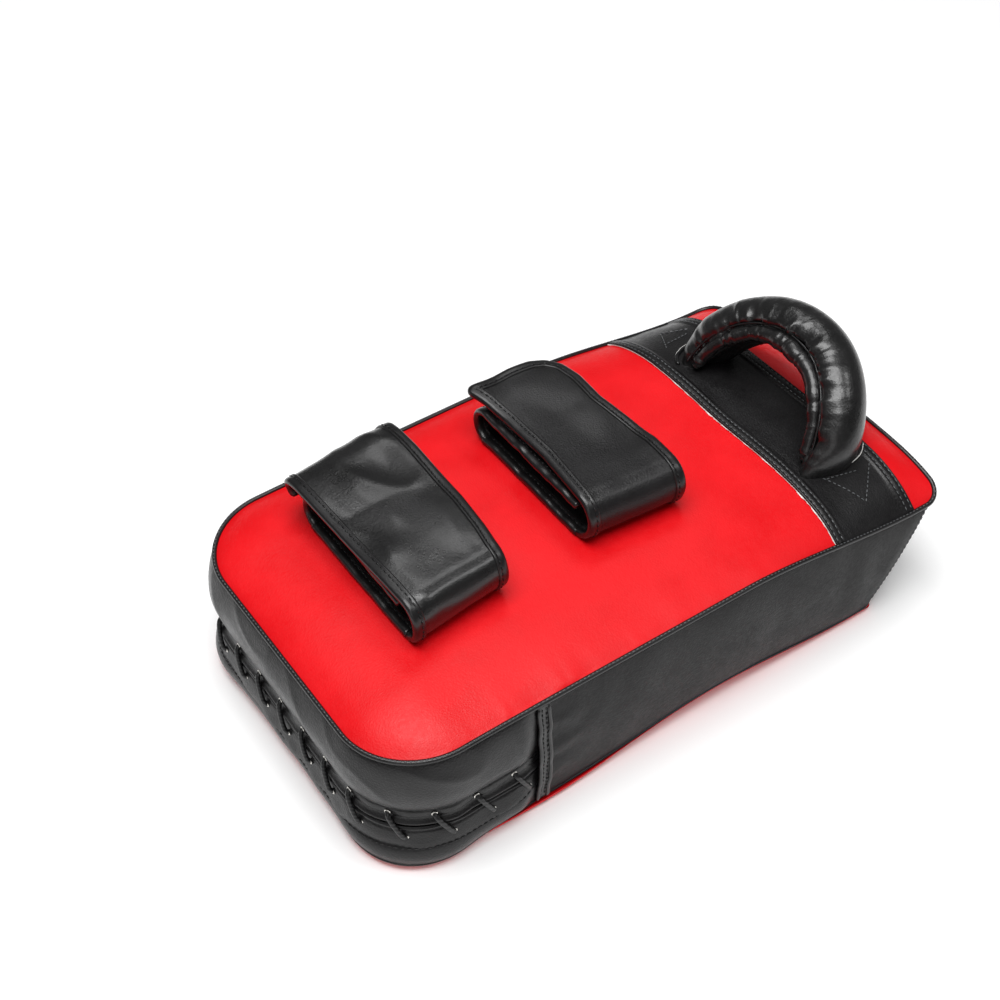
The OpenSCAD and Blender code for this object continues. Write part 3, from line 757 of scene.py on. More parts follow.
# One stitch: share of the way down and height over the strips
STITCH_LINE = ((0, -2.8), (0, 0.6), (0.08, 2.0), (0.3, 2.5), (0.5, 2.7), (0.7, 2.5), (0.92, 2.0), (1, 0.6),
               (1, -2.8))
PITCH = (LACED - 2 * MARGIN) / (STITCHES - 1)


def eye(s, z, out=0.0):
    """Point on the strips at s and z, and the way out there."""
    x, y, nx, ny = outline(SEAM_S + s)
    base = np.where(z > SLIT, mix(SLIT_UP_OUT, fold_out(s) / grow(s) - TUCK, (z - SLIT) / (FOLD - SLIT)),
                    mix(SLIT_LOW_OUT, HEM_OUT, (SLIT - z) / (SLIT - HEM))) * grow(s)
    place = np.array([x + nx * (base + out), y + ny * (base + out), z + hang(s) * 0.5], float)
    return place, np.array([nx, ny, 0.0])


def stamped_eyelet():
    """One eyelet at the origin: a rolled flange with a short barrel under it."""
    bpy.ops.object.select_all(action="DESELECT")
    bpy.ops.mesh.primitive_circle_add(vertices=20, radius=1.0 * MM, fill_type="NOTHING")
    one = bpy.context.active_object
    one.name = one.data.name = "stamped_eyelet"
    bpy.ops.object.mode_set(mode="EDIT")
    bpy.ops.mesh.select_all(action="SELECT")
    bpy.ops.mesh.extrude_edges_move(TRANSFORM_OT_translate={"value": (0, 0, 0.35 * MM)})
    bpy.ops.transform.resize(value=(1.3, 1.3, 1), center_override=(0, 0, 0))
    bpy.ops.mesh.extrude_edges_move(TRANSFORM_OT_translate={"value": (0, 0, -0.3 * MM)})
    bpy.ops.transform.resize(value=(1.3, 1.3, 1), center_override=(0, 0, 0))
    bpy.ops.object.mode_set(mode="OBJECT")
    for vertex in one.data.vertices:
        vertex.select = math.hypot(vertex.co.x, vertex.co.y) < 1.05 * MM
    for edge in one.data.edges:
        edge.select = all(one.data.vertices[i].select for i in edge.vertices)
    bpy.ops.object.mode_set(mode="EDIT")
    bpy.ops.mesh.extrude_edges_move(TRANSFORM_OT_translate={"value": (0, 0, -1.4 * MM)})
    bpy.ops.mesh.select_all(action="SELECT")
    bpy.ops.mesh.normals_make_consistent(inside=False)
    bpy.ops.object.mode_set(mode="OBJECT")
    modify(one, "SOLIDIFY", thickness=0.3 * MM, offset=0)
    modify(one, "BEVEL", width=0.09 * MM, segments=2, limit_method="ANGLE", angle_limit=0.7)
    select_only(one)
    bpy.ops.object.shade_smooth_by_angle(angle=0.7)
    return one


def set_in(one, name, centre, way):
    """A copy of one piece, turned to face way and set at centre."""
    piece = one.copy()
    piece.data = one.data.copy()
    piece.name = piece.data.name = name
    bpy.context.scene.collection.objects.link(piece)
    piece.rotation_euler = Vector(way).to_track_quat("Z", "Y").to_euler()
    piece.location = Vector(centre * MM)
    select_only(piece)
    bpy.ops.object.transform_apply(location=True, rotation=True, scale=True)
    return piece


rings = []
one = stamped_eyelet()
for i in range(STITCHES):
    for k, (ds, z) in enumerate(((SLANT / 2, SLIT + RISE / 2), (-SLANT / 2, SLIT - RISE / 2))):
        centre, way = eye(np.float64(MARGIN + i * PITCH + ds), z, 0.25)
        rings.append(set_in(one, f"eyelet_{i}_{k}", centre, way))
bpy.data.objects.remove(one)
dress(join("lace_eyelet_rings", rings), nickel, "eyelet", replaces=("lace_eyelets",))

route = []
for i in range(STITCHES):
    s_up = MARGIN + i * PITCH + SLANT / 2
    s_low = s_up - SLANT
    for t, out in STITCH_LINE:
        p, _ = eye(np.float64(mix(s_up, s_low, t)), SLIT + RISE / 2 - RISE * t, out)
        route.append(p)
dress(tube("lace", soften(even(route, 1.1), 3), LACE_R, 10), waxed_lace, "lace", replaces=("lace_cord",))

# ---------------------------------------------------------------- welts and seams


def seam_path(low, lift, out, step=2.0):
    """Round the whole pad along the upper or the lower seam."""
    end = BOTTOM_END if low else HANDLE
    height = (lambda x, y: sole_seam(x)) if low else face
    run = np.linspace(0, SIDE_RUN, int(SIDE_RUN / step))
    x, y, nx, ny = side_run(run, end)
    far = np.stack([x + nx * out, y + ny * out, height(x, y) + lift], 1)
    near = far * [1, -1, 1]
    s = np.linspace(0, LACED, int(LACED / step))[1:-1]
    x, y, nx, ny = outline(SEAM_S + s)
    more = out + (low_out(s) if low else 0)
    laced = np.stack([x + nx * more, y + ny * more, height(x, y) + lift], 1)
    y = np.linspace(END_HALF, -END_HALF, int(2 * END_HALF / step))[1:-1]
    x = end_x(y, end)
    across = np.stack([x + out, y, height(x, y) + lift], 1)
    return np.vstack([near, laced, far[::-1], across])


for name, low, lift, out, thick, node in (("arm_face_welt", False, 0.2, 0.6, 1.5, "back_welt"),
                                          ("strike_face_welt", True, 0.3, 0.1, 0.75, "strike_welt")):
    dress(tube(name, seam_path(low, lift, out), thick, 8, looped=True), welt_tape, "seam_trim",
          replaces=(node,))
# Welt stitches in the grey thread: painted glints on black thread
dress(stitches("arm_face_welt_thread", seam_path(False, 1.75, 0.9), 2.6, 1.5, 0.3), glint_grey_thread,
      "seam_trim")


def ridge_radius(share):
    return 1.25 * np.clip(np.sin(PI * share) * 9, 0.2, 1) ** 0.5


for side, name in ((-1, "near"), (1, "far")):
    ridges = []
    for offset in (-3.0, 3.0):
        t = np.linspace(0.03, 0.985, 60)
        x, y, z = side_wall(SIDE_RUN + 0 * t, t, side)
        wobble = 0.35 * lumps(z / 9, offset, 31)
        path = np.stack([x + offset + wobble, y + side * 0.9, z], 1)
        ridges.append(tube(f"ridge_{offset}", path, ridge_radius, 8, side=(1, 0, 0)))

    def flat(u, t, side=side):
        x, y, z = side_wall(SIDE_RUN + 0 * u, mix(0.02, 0.985, t), side)
        return x + (u - 0.5) * 7.6, y + side * (0.9 + 0.25 * lumps(z / 7, u * 2, 32)), z

    ridges.append(grid("felled", 6, 40, flat, flip=side < 0))
    dress(join(f"side_seam_cover_{name}", ridges), welt_tape, "seam_trim", replaces=(f"side_seam_{name}",))
    rows = []
    for offset in (-1.2, 1.3):
        t = np.linspace(0.04, 0.975, 60)
        x, y, z = side_wall(SIDE_RUN + 0 * t, t, side)
        rows.append(stitches("row", np.stack([x + offset, y + side * 1.2, z], 1), 3.6, 2.6, 0.4))
    dress(join(f"side_seam_thread_{name}", rows), black_thread, "seam_trim")

    t = np.linspace(0.02, 0.98, 60)
    edge = np.stack(side_wall(0 * t + 0.3, t, side), 1)
    dress(tube(f"corner_seam_cover_{name}", edge + [0.6, side * 0.2, 0], 1.3, 8, side=(1, 0, 0)), welt_tape,
          "seam_trim", replaces=(f"corner_seam_{name}",))
    rows = []
    for inward in (7.0, 10.5):
        path = np.stack(side_wall(0 * t + inward, t, side), 1) + [0, side * 0.15, 0]
        rows.append(stitches("row", path, 3.4, 2.2, 0.28))
    # Corner stitches in the grey thread: painted glints on black thread
    dress(join(f"corner_seam_thread_{name}", rows), glint_grey_thread, "seam_trim")

# Stitch rows along the laced end's fold and hem
s = np.linspace(2, LACED - 2, 500)
_, _, nx, ny = outline(SEAM_S + s)
rows = []
for shape, v in ((upper_strip, 0.43), (lower_panel, 0.12)):
    x, y, z = shape(s / LACED, v + 0 * s)
    rows.append(stitches("row", np.stack([x + nx * 0.1, y + ny * 0.1, z], 1), 3.6, 2.6, 0.32))
dress(join("laced_end_thread", rows), black_thread, "seam_trim")

# ---------------------------------------------------------------- handle band

BAND_UP = 1.2
BAND_ROWS = (2.0, 5.6)


def hem_rise(e):
    """Height of the band over the face at a distance e in from its edge."""
    doubled = 0.9 * ease(e / 0.8) * (1 - ease((e - 6.4) / 2.2))
    return BAND_UP + doubled - 0.45 * sum(hill(e, row, 0.7) for row in BAND_ROWS)


def band_point(x, y, lift=0.0):
    e = np.minimum(x - band_in(y), band_out(y) - x)
    soft = 0.5 * lumps(x / 15, y / 22, 41) * ease((e - 8) / 6)
    return x, y, face(x, y) + hem_rise(e) + soft + lift


def band_cover(u, v):
    y = spread(v)
    w = mix(u, 0.5 - 0.5 * np.cos(u * PI), 0.45)
    return band_point(mix(band_in(y), band_out(y), w), y)


piece = grid("handle_band_cover", 84, 120, band_cover)
modify(piece, "SOLIDIFY", thickness=1.4 * MM, offset=-1)
dress(piece, black_leathercloth, "black_cover",
      replaces=("handle_band", "handle_foot_near", "handle_foot_far"))

y = np.linspace(-HALF + 1, HALF - 1, 400)
rows = []
for e in BAND_ROWS:
    for place in (band_in(y) + e, band_out(y) - e):
        rows.append(stitches("row", np.stack(band_point(place, y, 0.2), 1), 3.4, 2.3, 0.34))
# Band stitches in the grey thread: painted glints on black thread
dress(join("band_thread", rows), glint_grey_thread, "seam_trim")


def raw_edge(u, v):
    """The white knit that frays out of the band's cut inner edge."""
    y = spread(v)
    torn = 0.16 + 0.34 * lumps(y / 6.5, 0, 51) + 0.26 * lumps(y / 2.1, 0, 52)
    shown = ease((lumps(y / 15, 0, 53) + 0.3) * 2.8)
    x = band_in(y) - np.clip(torn, 0, 1.1) * shown * (1 - u) + 0.4 * u
    return x, y, face(x, y) + mix(0.45, 1.0, u)


piece = grid("white_raw_edge", 3, 400, raw_edge)
modify(piece, "SOLIDIFY", thickness=0.4 * MM, offset=-1)
dress(piece, white_backing, "white_backing", replaces=("band_backing",))

# ---------------------------------------------------------------- handle

tilt = next(j for j in frame["joints"] if j["name"] == "handle_tilt")
pivot = np.array(tilt["pos_m"]) / MM
LEAN = math.radians(32)
FOOT_X = pivot[0] - 2.5
FOOT_Y0, FOOT_Y1 = -60.0, 48.0
FOOT_Z = float(face(np.float64(FOOT_X), np.float64(-57.0))) - 7.0
RISE_UP = 58.0 - (FOOT_Z - 83.5)


def grip_line(phi):
    """Centre line of the grip, from the near foot to the far one."""
    middle, half = (FOOT_Y0 + FOOT_Y1) / 2, (FOOT_Y1 - FOOT_Y0) / 2
    rise = RISE_UP * np.sin(phi) ** 0.92
    y = middle - half * np.sign(np.cos(phi)) * np.abs(np.cos(phi)) ** 0.92
    lean = rise * np.tan(LEAN) * (0.55 + 0.45 * np.sin(phi))
    return np.stack([FOOT_X + lean * 0.98, y, FOOT_Z + rise * math.cos(LEAN)], -1)


SEAM_AT = 0.96 * PI
EDGE_AT = 0.85 * PI
grip = even(grip_line(np.linspace(0, PI, 400)), count=240)
GRIP_L = float(np.linalg.norm(np.diff(grip, axis=0), axis=1).sum())
lean_axis = np.array([math.cos(LEAN), 0, -math.sin(LEAN)])


def grip_section(u, a):
    """Section of the grip: a = 0 faces the handle end, a = pi the laced end."""
    foot = np.exp(-((u * GRIP_L / 15.0) ** 2)) + np.exp(-(((1 - u) * GRIP_L / 15.0) ** 2))
    first, last = np.exp(-((u * GRIP_L / 13.0) ** 2)), np.exp(-(((1 - u) * GRIP_L / 15.0) ** 2))
    wide = 16.4 + 2.0 * first - 3.5 * last
    deep = 16.4 - 8.0 * first - 7.0 * last
    away = (a - SEAM_AT + PI) % (2 * PI) - PI
    pull = np.exp(-((away / 0.95) ** 2))
    folds = 1.5 * lumps(u * GRIP_L / 5.2, away * 0.4, 61) + 0.8 * lumps(u * GRIP_L / 2.9, away * 0.8, 62)
    folds = folds + 1.6 * creases(u * GRIP_L / 9.0, away * 0.5, 65)
    valley = -2.4 * np.exp(-((away / 0.14) ** 2))
    flat = -6.5 * np.exp(-(((a - 0.55 * PI) / 0.9) ** 2))
    soft = 0.3 * lumps(u * GRIP_L / 30, a * 1.2, 63)
    extra = folds * pull * (1 - 0.6 * foot) + valley * (1 - foot * 0.6) + flat + soft
    return (wide + extra) * np.cos(a), (deep + extra) * np.sin(a)


piece = sweep("grip_cover", grip, lean_axis, grip_section, around=96)
dress(piece, glossy_leathercloth, "black_cover", body=None,
      replaces=("handle_cover", "handle_foam", "handle_webbing"))
grip_pieces = [piece]

# ---------------------------------------------------------------- grip seam edge and feet


def on_grip(u, a, far):
    """Points round the grip at an angle a and a distance far from its centre line."""
    at = np.clip(u, 0, 1) * (len(grip) - 1)
    centre = np.stack([np.interp(at, np.arange(len(grip)), grip[:, k]) for k in range(3)], 1)
    ahead = [np.interp(at, np.arange(len(grip)), np.gradient(grip[:, k])) for k in range(3)]
    ahead = unit(np.stack(ahead, 1))
    side = unit(lean_axis - (ahead @ lean_axis)[:, None] * ahead)
    up = np.cross(ahead, side)
    far = np.broadcast_to(far, at.shape)[:, None]
    return centre + far * (np.cos(a) * side + np.sin(a) * up)


u = np.linspace(0.045, 0.955, 300)
edge_far = 13.6 - 1.5 * np.exp(-((u / 0.09) ** 2)) + 2.4 * hill(u, 0.46, 0.2)
edge_line = on_grip(u, EDGE_AT, edge_far + 0.7 * lumps(u * GRIP_L / 9, 0, 71))


def edge_radius(share):
    """The stuffed edge is gathered, fuller in the middle and slim at the feet."""
    run = share * GRIP_L * 0.86
    gather = 0.5 * lumps(run / 2.6, 0, 72) + 0.5 * lumps(run / 7.0, 0, 73)
    taper = np.clip(np.sin(PI * np.clip(share, 0, 1)) * 14, 0.35, 1) ** 0.5
    return (3.9 + 1.5 * hill(share, 0.46, 0.24) + 0.8 * gather) * taper


piece = tube("grip_seam_edge", edge_line, edge_radius, 24, side=lean_axis)
dress(piece, glossy_leathercloth, "seam_trim", body=None, replaces=("handle_seam_edge",))
grip_pieces.append(piece)
fold_far = 14.5 + 0.25 * lumps(u * GRIP_L / 6, 0, 74)
piece = tube("grip_seam_fold", on_grip(u, SEAM_AT + 0.06, fold_far), 0.65, 8, side=lean_axis)
dress(piece, binding_tape, "seam_trim", body=None)
grip_pieces.append(piece)
thread = stitches("grip_thread", on_grip(u, SEAM_AT - 0.02, 13.9 + 0 * u), 3.2, 2.4, 0.4)
dress(thread, black_thread, "seam_trim", body=None)
grip_pieces.append(thread)


def on_band(points, step=1.2, lift=0.3):
    """A line drawn on the band through points in plan."""
    p = even(np.array([(x, y, 0.0) for x, y in points]), step)
    return np.stack(band_point(p[:, 0], p[:, 1], lift), 1)


rows, lips, whites = [], [], []
for near in (True, False):
    corners = [(124, -66), (139, -91), (160, -70)] if near else [(123, 69), (133, 87), (149, 78)]
    bar = [(127, -70), (150, -74)] if near else [(127, 73), (146, 75)]
    for line in (corners[:2], corners[1:], bar):
        rows.append(stitches("row", on_band(line), 3.0, 2.1, 0.34))
    mouth = ([(118, -58), (123.5, -62.5), (134, -66), (147, -67.5), (157.5, -65), (162.5, -60)] if near
             else [(117.5, 51), (121, 58), (130, 62.5), (142, 64), (153, 61.5), (159, 57)])
    path = soften(on_band(mouth, 1.5, 0.5), 8)
    lips.append(tube("lip", path, 1.15, 8))
    whites.append(tube("white", path + np.array([0.2, -1.1 if near else 1.1, 0.25]), 0.32, 6))
# Foot stitches in the grey thread: painted glints on black thread
dress(join("foot_thread", rows), glint_grey_thread, "seam_trim",
      replaces=("handle_anchor_near", "handle_anchor_far"))
dress(join("slit_lip", lips), binding_tape, "seam_trim")
dress(join("slit_raw_edge", whites), white_backing, "white_backing")

# ---------------------------------------------------------------- straps

# A strap's thickness, how far its cover and its stitch row lie in from the edge,
# the patches' distance from the sides, how far an under flap reaches back from
# its fold, and the y from which a top flap's outline runs along its very end
THICK, CLEAR, ROW_IN, PATCH_IN, UNDER_REACH, TIP_FROM = 3.0, 3.4, 4.3, 9, 86, 78.5
bends = []


def strap_map(points, near_x, skew, lift):
    """Where a strap's middle surface lies: x across, q along the profile."""
    prof = even(soften(even(np.array([(0, y, z) for y, z in points], float), 1.0), 6), 0.8)
    run = np.r_[0, np.cumsum(np.linalg.norm(np.diff(prof, axis=0), axis=1))]
    ways = unit(np.gradient(prof, axis=0))

    def plain(x, q):
        y0, z0 = np.interp(q, run, prof[:, 1]), np.interp(q, run, prof[:, 2])
        wy, wz = np.interp(q, run, ways[:, 1]), np.interp(q, run, ways[:, 2])
        a = (x - near_x[0]) / (near_x[1] - near_x[0])
        y = y0 + mix(skew[0], skew[1], a)
        hold = np.clip((112 - z0) / 11, 0, 1)
        z = z0 + (face(x, y) - 97.6) * hold
        up = lift(x, y, z0, q)
        return np.stack([x, y - wz * up, z + wy * up], -1)

    def at(x, q, h=0.0):
        x, q = np.broadcast_arrays(np.asarray(x, float), np.asarray(q, float))
        p = plain(x, q)
        way = np.cross(plain(x + 0.4, q) - plain(x - 0.4, q), plain(x, q + 0.4) - plain(x, q - 0.4))
        return p + unit(way) * np.broadcast_to(h, x.shape)[..., None]

    def q_at(y):
        k = int(np.argmin(prof[:, 1]))
        m = k + int(np.argmax(prof[k:, 1]))
        return float(np.interp(y, prof[k:m + 1, 1], run[k:m + 1]))

    return at, q_at, run[-1]


def inward(path):
    """The way in from an open or closed outline drawn with the sheet on its right."""
    way = np.gradient(path, axis=0)
    way /= np.maximum(np.linalg.norm(way, axis=1, keepdims=True), 1e-9)
    return np.stack([way[:, 1], -way[:, 0]], 1)


def flat_path(points, step, smooth):
    """A line drawn on the strap laid flat, evenly spaced and rounded off."""
    return soften(even(np.array([(x, q, 0.0) for x, q in points]), step), smooth)[:, :2]


def panel(name, at, left, right, q0, q_end):
    """The sheet between its two edges; left and right give x at each q."""

    def place(u, v):
        q = mix(q0, q_end, v)
        p = at(mix(left(q), right(q), u), q)
        return p[:, 0], p[:, 1], p[:, 2]

    piece = grid(name, 40, 90, place)
    return modify(piece, "SOLIDIFY", thickness=THICK * MM, offset=0)


def binding(name, at, path, thick, wide=6.5):
    """Tape folded over the edge, with a rolled inner edge; thick is half of it."""
    way = inward(path)
    n = len(path)
    section = np.array([
        (wide, -thick), (wide, -0.5 * thick), (wide, 0.5 * thick), (wide - 0.2, thick * 1.05),
        (wide - 0.9, thick * 1.2), (wide - 1.7, thick * 1.02), (wide - 2.6, thick),
        (wide * 0.4, thick * 1.08), (1.0, thick), (0.1, thick * 0.72), (-0.35, 0.3 * thick), (-0.35, -0.3 * thick), (0.1, -thick * 0.72),
        (1.0, -thick), (wide * 0.5, -thick * 1.05)])
    m = len(section)

    def place(u, v):
        ring = np.round(u * (n + 1)).astype(int)
        k = np.clip(ring - 1, 0, n - 1)
        full = ((ring > 0) & (ring < n + 1)).astype(float)
        j = np.round(v * m).astype(int) % m
        d = mix(wide / 2, section[j, 0], full)
        h = section[j, 1] * full
        p = at(path[k, 0] + way[k, 0] * d, path[k, 1] + way[k, 1] * d, h)
        return p[:, 0], p[:, 1], p[:, 2]

    return grid(name, n + 1, m, place, weld=True)


def edge_thread(at, path, h):
    """The stitch row that holds the binding."""
    way = inward(path)
    row = at(path[:, 0] + way[:, 0] * ROW_IN, path[:, 1] + way[:, 1] * ROW_IN, h)
    return stitches("row", row, 3.6, 2.5, 0.42)


def patch(name, at, span, q0, q1):
    """Hook or loop tape from q0 to q1, on the side that meets the other flap:
    a top flap's inner side, an under flap's outer side."""
    low, high = -THICK / 2 - 1.0, -THICK / 2

    def place(u, v):
        p = at(mix(span[0] + PATCH_IN, span[1] - PATCH_IN, u), mix(q0, q1, v), (low + high) / 2)
        return p[:, 0], p[:, 1], p[:, 2]

    piece = grid(name, 14, 14, place)
    return modify(piece, "SOLIDIFY", thickness=(high - low) * MM, offset=0)


def half_ring(centre, wide, low, high):
    """A strap's fold, from its lower layer round to its upper one."""
    middle, tall = (low + high) / 2, (high - low) / 2
    return [(centre + wide * math.sin(a), middle - tall * math.cos(a)) for a in np.linspace(0, PI, 16)]


def bend_at(joint, body, way):
    """The body that a flap opens with, and the stretch across its hinge."""
    hinge = next(j for j in frame["joints"] if j["name"] == joint)["pos_m"]
    start = np.array([0, hinge[1] - way * 0.001, hinge[2]])
    return body, tuple(start), tuple(start + np.array([0, way * 0.016, 0]))


def dress_layer(k, pieces, bend=None):
    """Dresses the pieces of one strap layer: a layer that lies on the pad moves with it, one that opens is
    put on no body and noted in bends with its hinge.
    """
    for piece, cover, slot, node in pieces:
        dress(piece, cover, slot, body=None if bend else "pad",
              replaces=(f"strap_{k}_{node}",) if node else ())
        if bend:
            bends.append((piece, *bend))


def straight_layer(k, layer, at, run, span, lines, row_height):
    """Cover, tapes and thread of a layer whose two edges are straight."""
    cover = panel(f"strap_{k}_{layer}_cover", at, lambda q: span[0] + 3 + 0 * q,
                  lambda q: span[1] - 3 + 0 * q, 0.0, run)
    tapes = join(f"strap_{k}_{layer}_tape", [binding("tape", at, line, THICK / 2 + 0.5) for line in lines])
    rows = join(f"strap_{k}_{layer}_thread", [edge_thread(at, line, row_height) for line in lines])
    return cover, tapes, rows


def build_strap(k, near, far, span, skew, top_line, tip, lift, base_lift, material):
    """One arm strap: base on the pad, a fold at each side, two lapped flaps.
    near and far give each fold's place and reach, span the strap's two sides,
    top_line the top flap's profile and tip the outline of its free end."""
    base_z, under_z, over_z = 99.9, 119.8, top_line[0][1]

    # near fold and top flap
    fold = half_ring(near[0], -near[1], base_z, over_z)
    at, q_at, run = strap_map(fold + list(top_line), span, skew, lift)
    outer = [(x, q_at(y) if y < TIP_FROM else run - 0.5) for x, y in tip]
    contour = flat_path([(span[0], 0.0)] + outer + [(span[1], 0.0)], 1.0, 4)
    half = len(contour) // 2
    side_l, side_r = contour[:half], contour[half:]
    order_l, order_r = np.argsort(side_l[:, 1]), np.argsort(side_r[:, 1])

    def edge_l(q):
        return np.interp(q, side_l[order_l, 1], side_l[order_l, 0]) + CLEAR

    def edge_r(q):
        return np.interp(q, side_r[order_r, 1], side_r[order_r, 0]) - CLEAR

    reach = contour[:, 1].max() - CLEAR
    top = panel(f"strap_{k}_top_cover", at, edge_l, edge_r, 0.6, reach)
    tape = binding(f"strap_{k}_top_tape", at, contour, THICK / 2 + 0.55)
    thread = edge_thread(at, contour, THICK / 2 + 0.75)
    thread.name = f"strap_{k}_top_thread"
    hook = patch(f"strap_{k}_hook_patch", at, span, q_at(14), q_at(50))
    dress_layer(k, ((top, material, "black_cover", "top_flap"),
                    (tape, binding_tape, "seam_trim", "top_binding"),
                    (thread, black_thread, "seam_trim", None), (hook, hook_tape, "hook_tape", "hook")),
                bend_at(f"strap_{k}_open", f"strap_{k}_top", 1))

    # base on the pad
    at, q_at, run = strap_map([(near[0] - 1, base_z), (far[0] + 1, base_z)], span, skew, base_lift)
    lines = (flat_path([(span[0] - 0.5, 0.0), (span[0] - 0.8, run)], 1.5, 1),
             flat_path([(span[1] + 0.5, run), (span[1] + 0.8, 0.0)], 1.5, 1))
    base, tapes, rows = straight_layer(k, "base", at, run, span, lines, THICK / 2 + 0.6)
    dress_layer(k, ((base, material, "black_cover", "base"),
                    (tapes, binding_tape, "seam_trim", "base_binding"),
                    (rows, black_thread, "seam_trim", None)))

    # far fold and under flap
    fold = half_ring(far[0], far[1], base_z, under_z)
    flap = [(far[0] - 16, under_z), (far[0] - UNDER_REACH, under_z - 0.8)]
    at, q_at, run = strap_map(fold + flap, span, skew, base_lift)
    lines = (flat_path([(span[1] + 0.3, 0.0), (span[1] + 0.3, run)], 1.0, 1)[::-1],
             flat_path([(span[0] - 0.3, 0.0), (span[0] - 0.3, run)], 1.0, 1))
    under, tapes, rows = straight_layer(k, "under", at, run, span, lines, -THICK / 2 - 0.6)
    loop = patch(f"strap_{k}_loop_patch", at, span, run - 68, run - 30)
    dress_layer(k, ((under, material, "black_cover", "under_flap"),
                    (tapes, binding_tape, "seam_trim", "under_binding"),
                    (rows, black_thread, "seam_trim", None), (loop, loop_tape, "loop_tape", "loop")),
                bend_at(f"strap_{k}_under_open", f"strap_{k}_under", -1))


def strap_1_lift(x, y, z, q):
    """Creases and dents of strap 1's worn top flap."""
    on_top = np.clip((z - 114) / 8, 0, 1)
    soft = 1.5 * lumps((x + y * 0.35) / 24, (y - x * 0.3) / 25, 81) + 0.3 * lumps(x / 12, y / 15, 82)
    drawn = 1.1 * creases((x + 0.75 * y) / 40 + 0.2, (y - x) / 70, 83)
    drawn = drawn - 0.6 * creases((x - 0.6 * y) / 46, y / 60, 84)
    rim = np.clip(np.minimum(x + 135, -68 - x) / 14, 0.12, 1)
    return (soft + drawn) * on_top * rim + 0.5 * lumps(q / 9, x / 30, 85) * (1 - on_top)


def strap_1_base(x, y, z, q):
    """Ripples of strap 1's base and under flap."""
    return 0.9 * lumps(y / 13, x / 16, 86) + 0.5 * lumps(y / 5.5, x / 9, 87)


build_strap(
    1, (-33.5, 10.5), (58.5, 9.5), (-131.5, -72.0), (-3.0, 3.0),
    [(-33.5, 125.7), (-10, 125.6), (20, 125.6), (50, 126.6), (65, 126.8), (73.5, 125.2), (78.4, 120.4),
     (78.6, 114.5), (76, 110)],
    [(-132.5, -33), (-133.5, -10), (-135, 30), (-136.5, 60), (-137, 75), (-134, 79), (-70, 79), (-67, 75),
     (-66, 50), (-66.5, 5), (-68.5, -20), (-70.5, -33)],
    strap_1_lift, strap_1_base, glossy_leathercloth)


def strap_2_lift(x, y, z, q):
    """Strap 2's top flap waves a little and lifts at its free corner."""
    on_top = np.clip((z - 114) / 8, 0, 1)
    soft = 0.5 * lumps(x / 30, y / 34, 91) + 0.25 * lumps(x / 13, y / 16, 92)
    rim = np.clip(np.minimum(x + 15, 42 - x) / 12, 0.2, 1)
    wave = 1.6 * np.sin((y - 6) / 17) * ease((x - 8) / 26) * ease((y + 20) / 20)
    arch = 1.8 * hill(x, 14, 22) * ease((y - 30) / 30)
    tip_up = 2.0 * ease((y - 40) / 30) * ease((2 - x) / 18)
    return (soft * rim + wave + arch + tip_up) * on_top + 0.4 * lumps(q / 8, x / 24, 93) * (1 - on_top)


def strap_2_base(x, y, z, q):
    """Ripples of strap 2's base and under flap."""
    return 0.8 * lumps(y / 12, x / 14, 96) + 0.4 * lumps(y / 5, x / 9, 97)


build_strap(
    2, (-30, 11.5), (56.5, 9.5), (-17.5, 43.0), (2.5, -2.5),
    [(-30, 126.0), (0, 125.8), (30, 126.0), (50, 126.8), (60, 127.6), (80, 128.6)],
    [(-16.5, -29), (-15.3, -15), (-13.6, 6), (-15, 40), (-17.5, 56), (-21, 67), (-18.5, 70.5), (-8, 71),
     (8, 73), (22, 73), (31, 70), (37, 63), (40, 50), (39.5, 29), (43.4, 6), (45.4, -12), (44.8, -29)],
    strap_2_lift, strap_2_base, black_leathercloth)

# ---------------------------------------------------------------- stage, light and camera

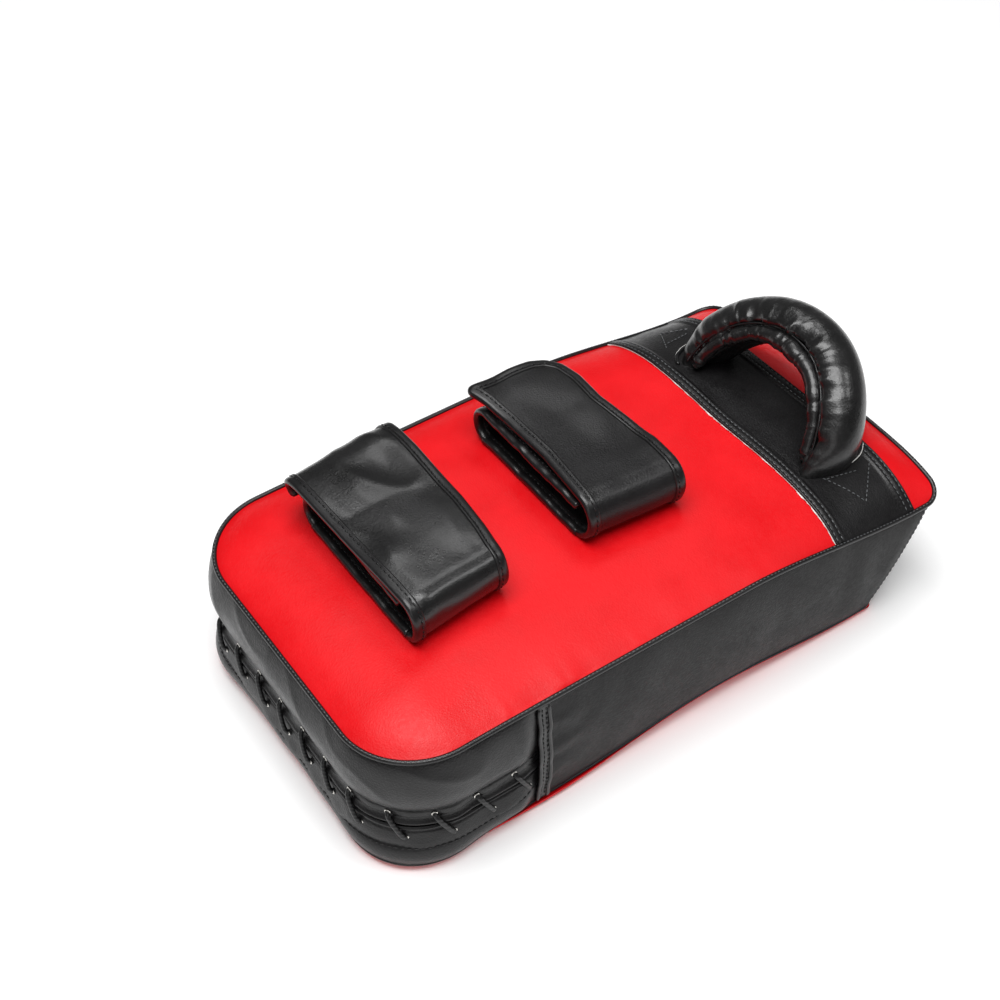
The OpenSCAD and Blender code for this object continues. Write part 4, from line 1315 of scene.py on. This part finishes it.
bpy.ops.object.select_all(action="DESELECT")
bpy.ops.mesh.primitive_plane_add(size=8)
floor = bpy.context.active_object
floor.name = "floor"
material, tree = new_material("Pale studio floor")
shader = add(tree, "BsdfPrincipled", Base_Color=(0.95, 0.95, 0.95, 1), Roughness=0.9,
             Emission_Color=(1, 1, 1, 1), Emission_Strength=0.06)
add(tree, "OutputMaterial", Surface=shader.outputs["BSDF"])
floor.data.materials.append(material)

world = bpy.data.worlds.new("Studio")
bpy.context.scene.world = world
world.use_nodes = True
world.node_tree.nodes["Background"].inputs["Color"].default_value = (1, 1, 1, 1)
world.node_tree.nodes["Background"].inputs["Strength"].default_value = 0.16


def softbox(name, place, aim, size, power):
    """A rectangular lamp aimed at a point; metres and watts."""
    bpy.ops.object.light_add(type="AREA", location=place)
    lamp = bpy.context.active_object
    lamp.name = name
    lamp.data.shape = "RECTANGLE"
    lamp.data.size, lamp.data.size_y = size
    lamp.data.energy = power
    ray = np.array(aim) - np.array(place)
    lamp.rotation_euler = Vector(ray).to_track_quat("-Z", "Y").to_euler()
    return lamp


softbox("Overhead softbox", (-0.3, -0.1, 2.0), (0, 0, 0.05), (1.6, 1.2), 46)
softbox("Back softbox", (0.62, 0.82, 1.75), (-0.05, 0, 0.1), (0.6, 0.4), 3.4)
softbox("Side softbox", (0.95, -0.9, 1.8), (0, 0, 0.05), (0.5, 0.4), 4.5)
softbox("Front softbox", (-1.2, -1.2, 1.0), (0, 0, 0.05), (0.8, 0.8), 2.2)

eye_at = (-0.4137, -0.5296, 0.7795)
look_at = (-0.01068, 0.05314, 0.05269)
bpy.ops.object.camera_add(location=eye_at)
camera = bpy.context.active_object
camera.rotation_euler = (Vector(look_at) - Vector(eye_at)).to_track_quat("-Z", "Y").to_euler()
camera.data.sensor_width = 36
camera.data.lens = 36 * 1.728
camera.data.dof.use_dof = False
bpy.context.scene.camera = camera
bpy.context.scene.view_settings.view_transform = "Standard"

# Bake the placement of the grip's pieces and of the opening flaps' pieces into their meshes
for piece in grip_pieces:
    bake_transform(piece)
for piece, moving, start, stop in bends:
    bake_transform(piece)
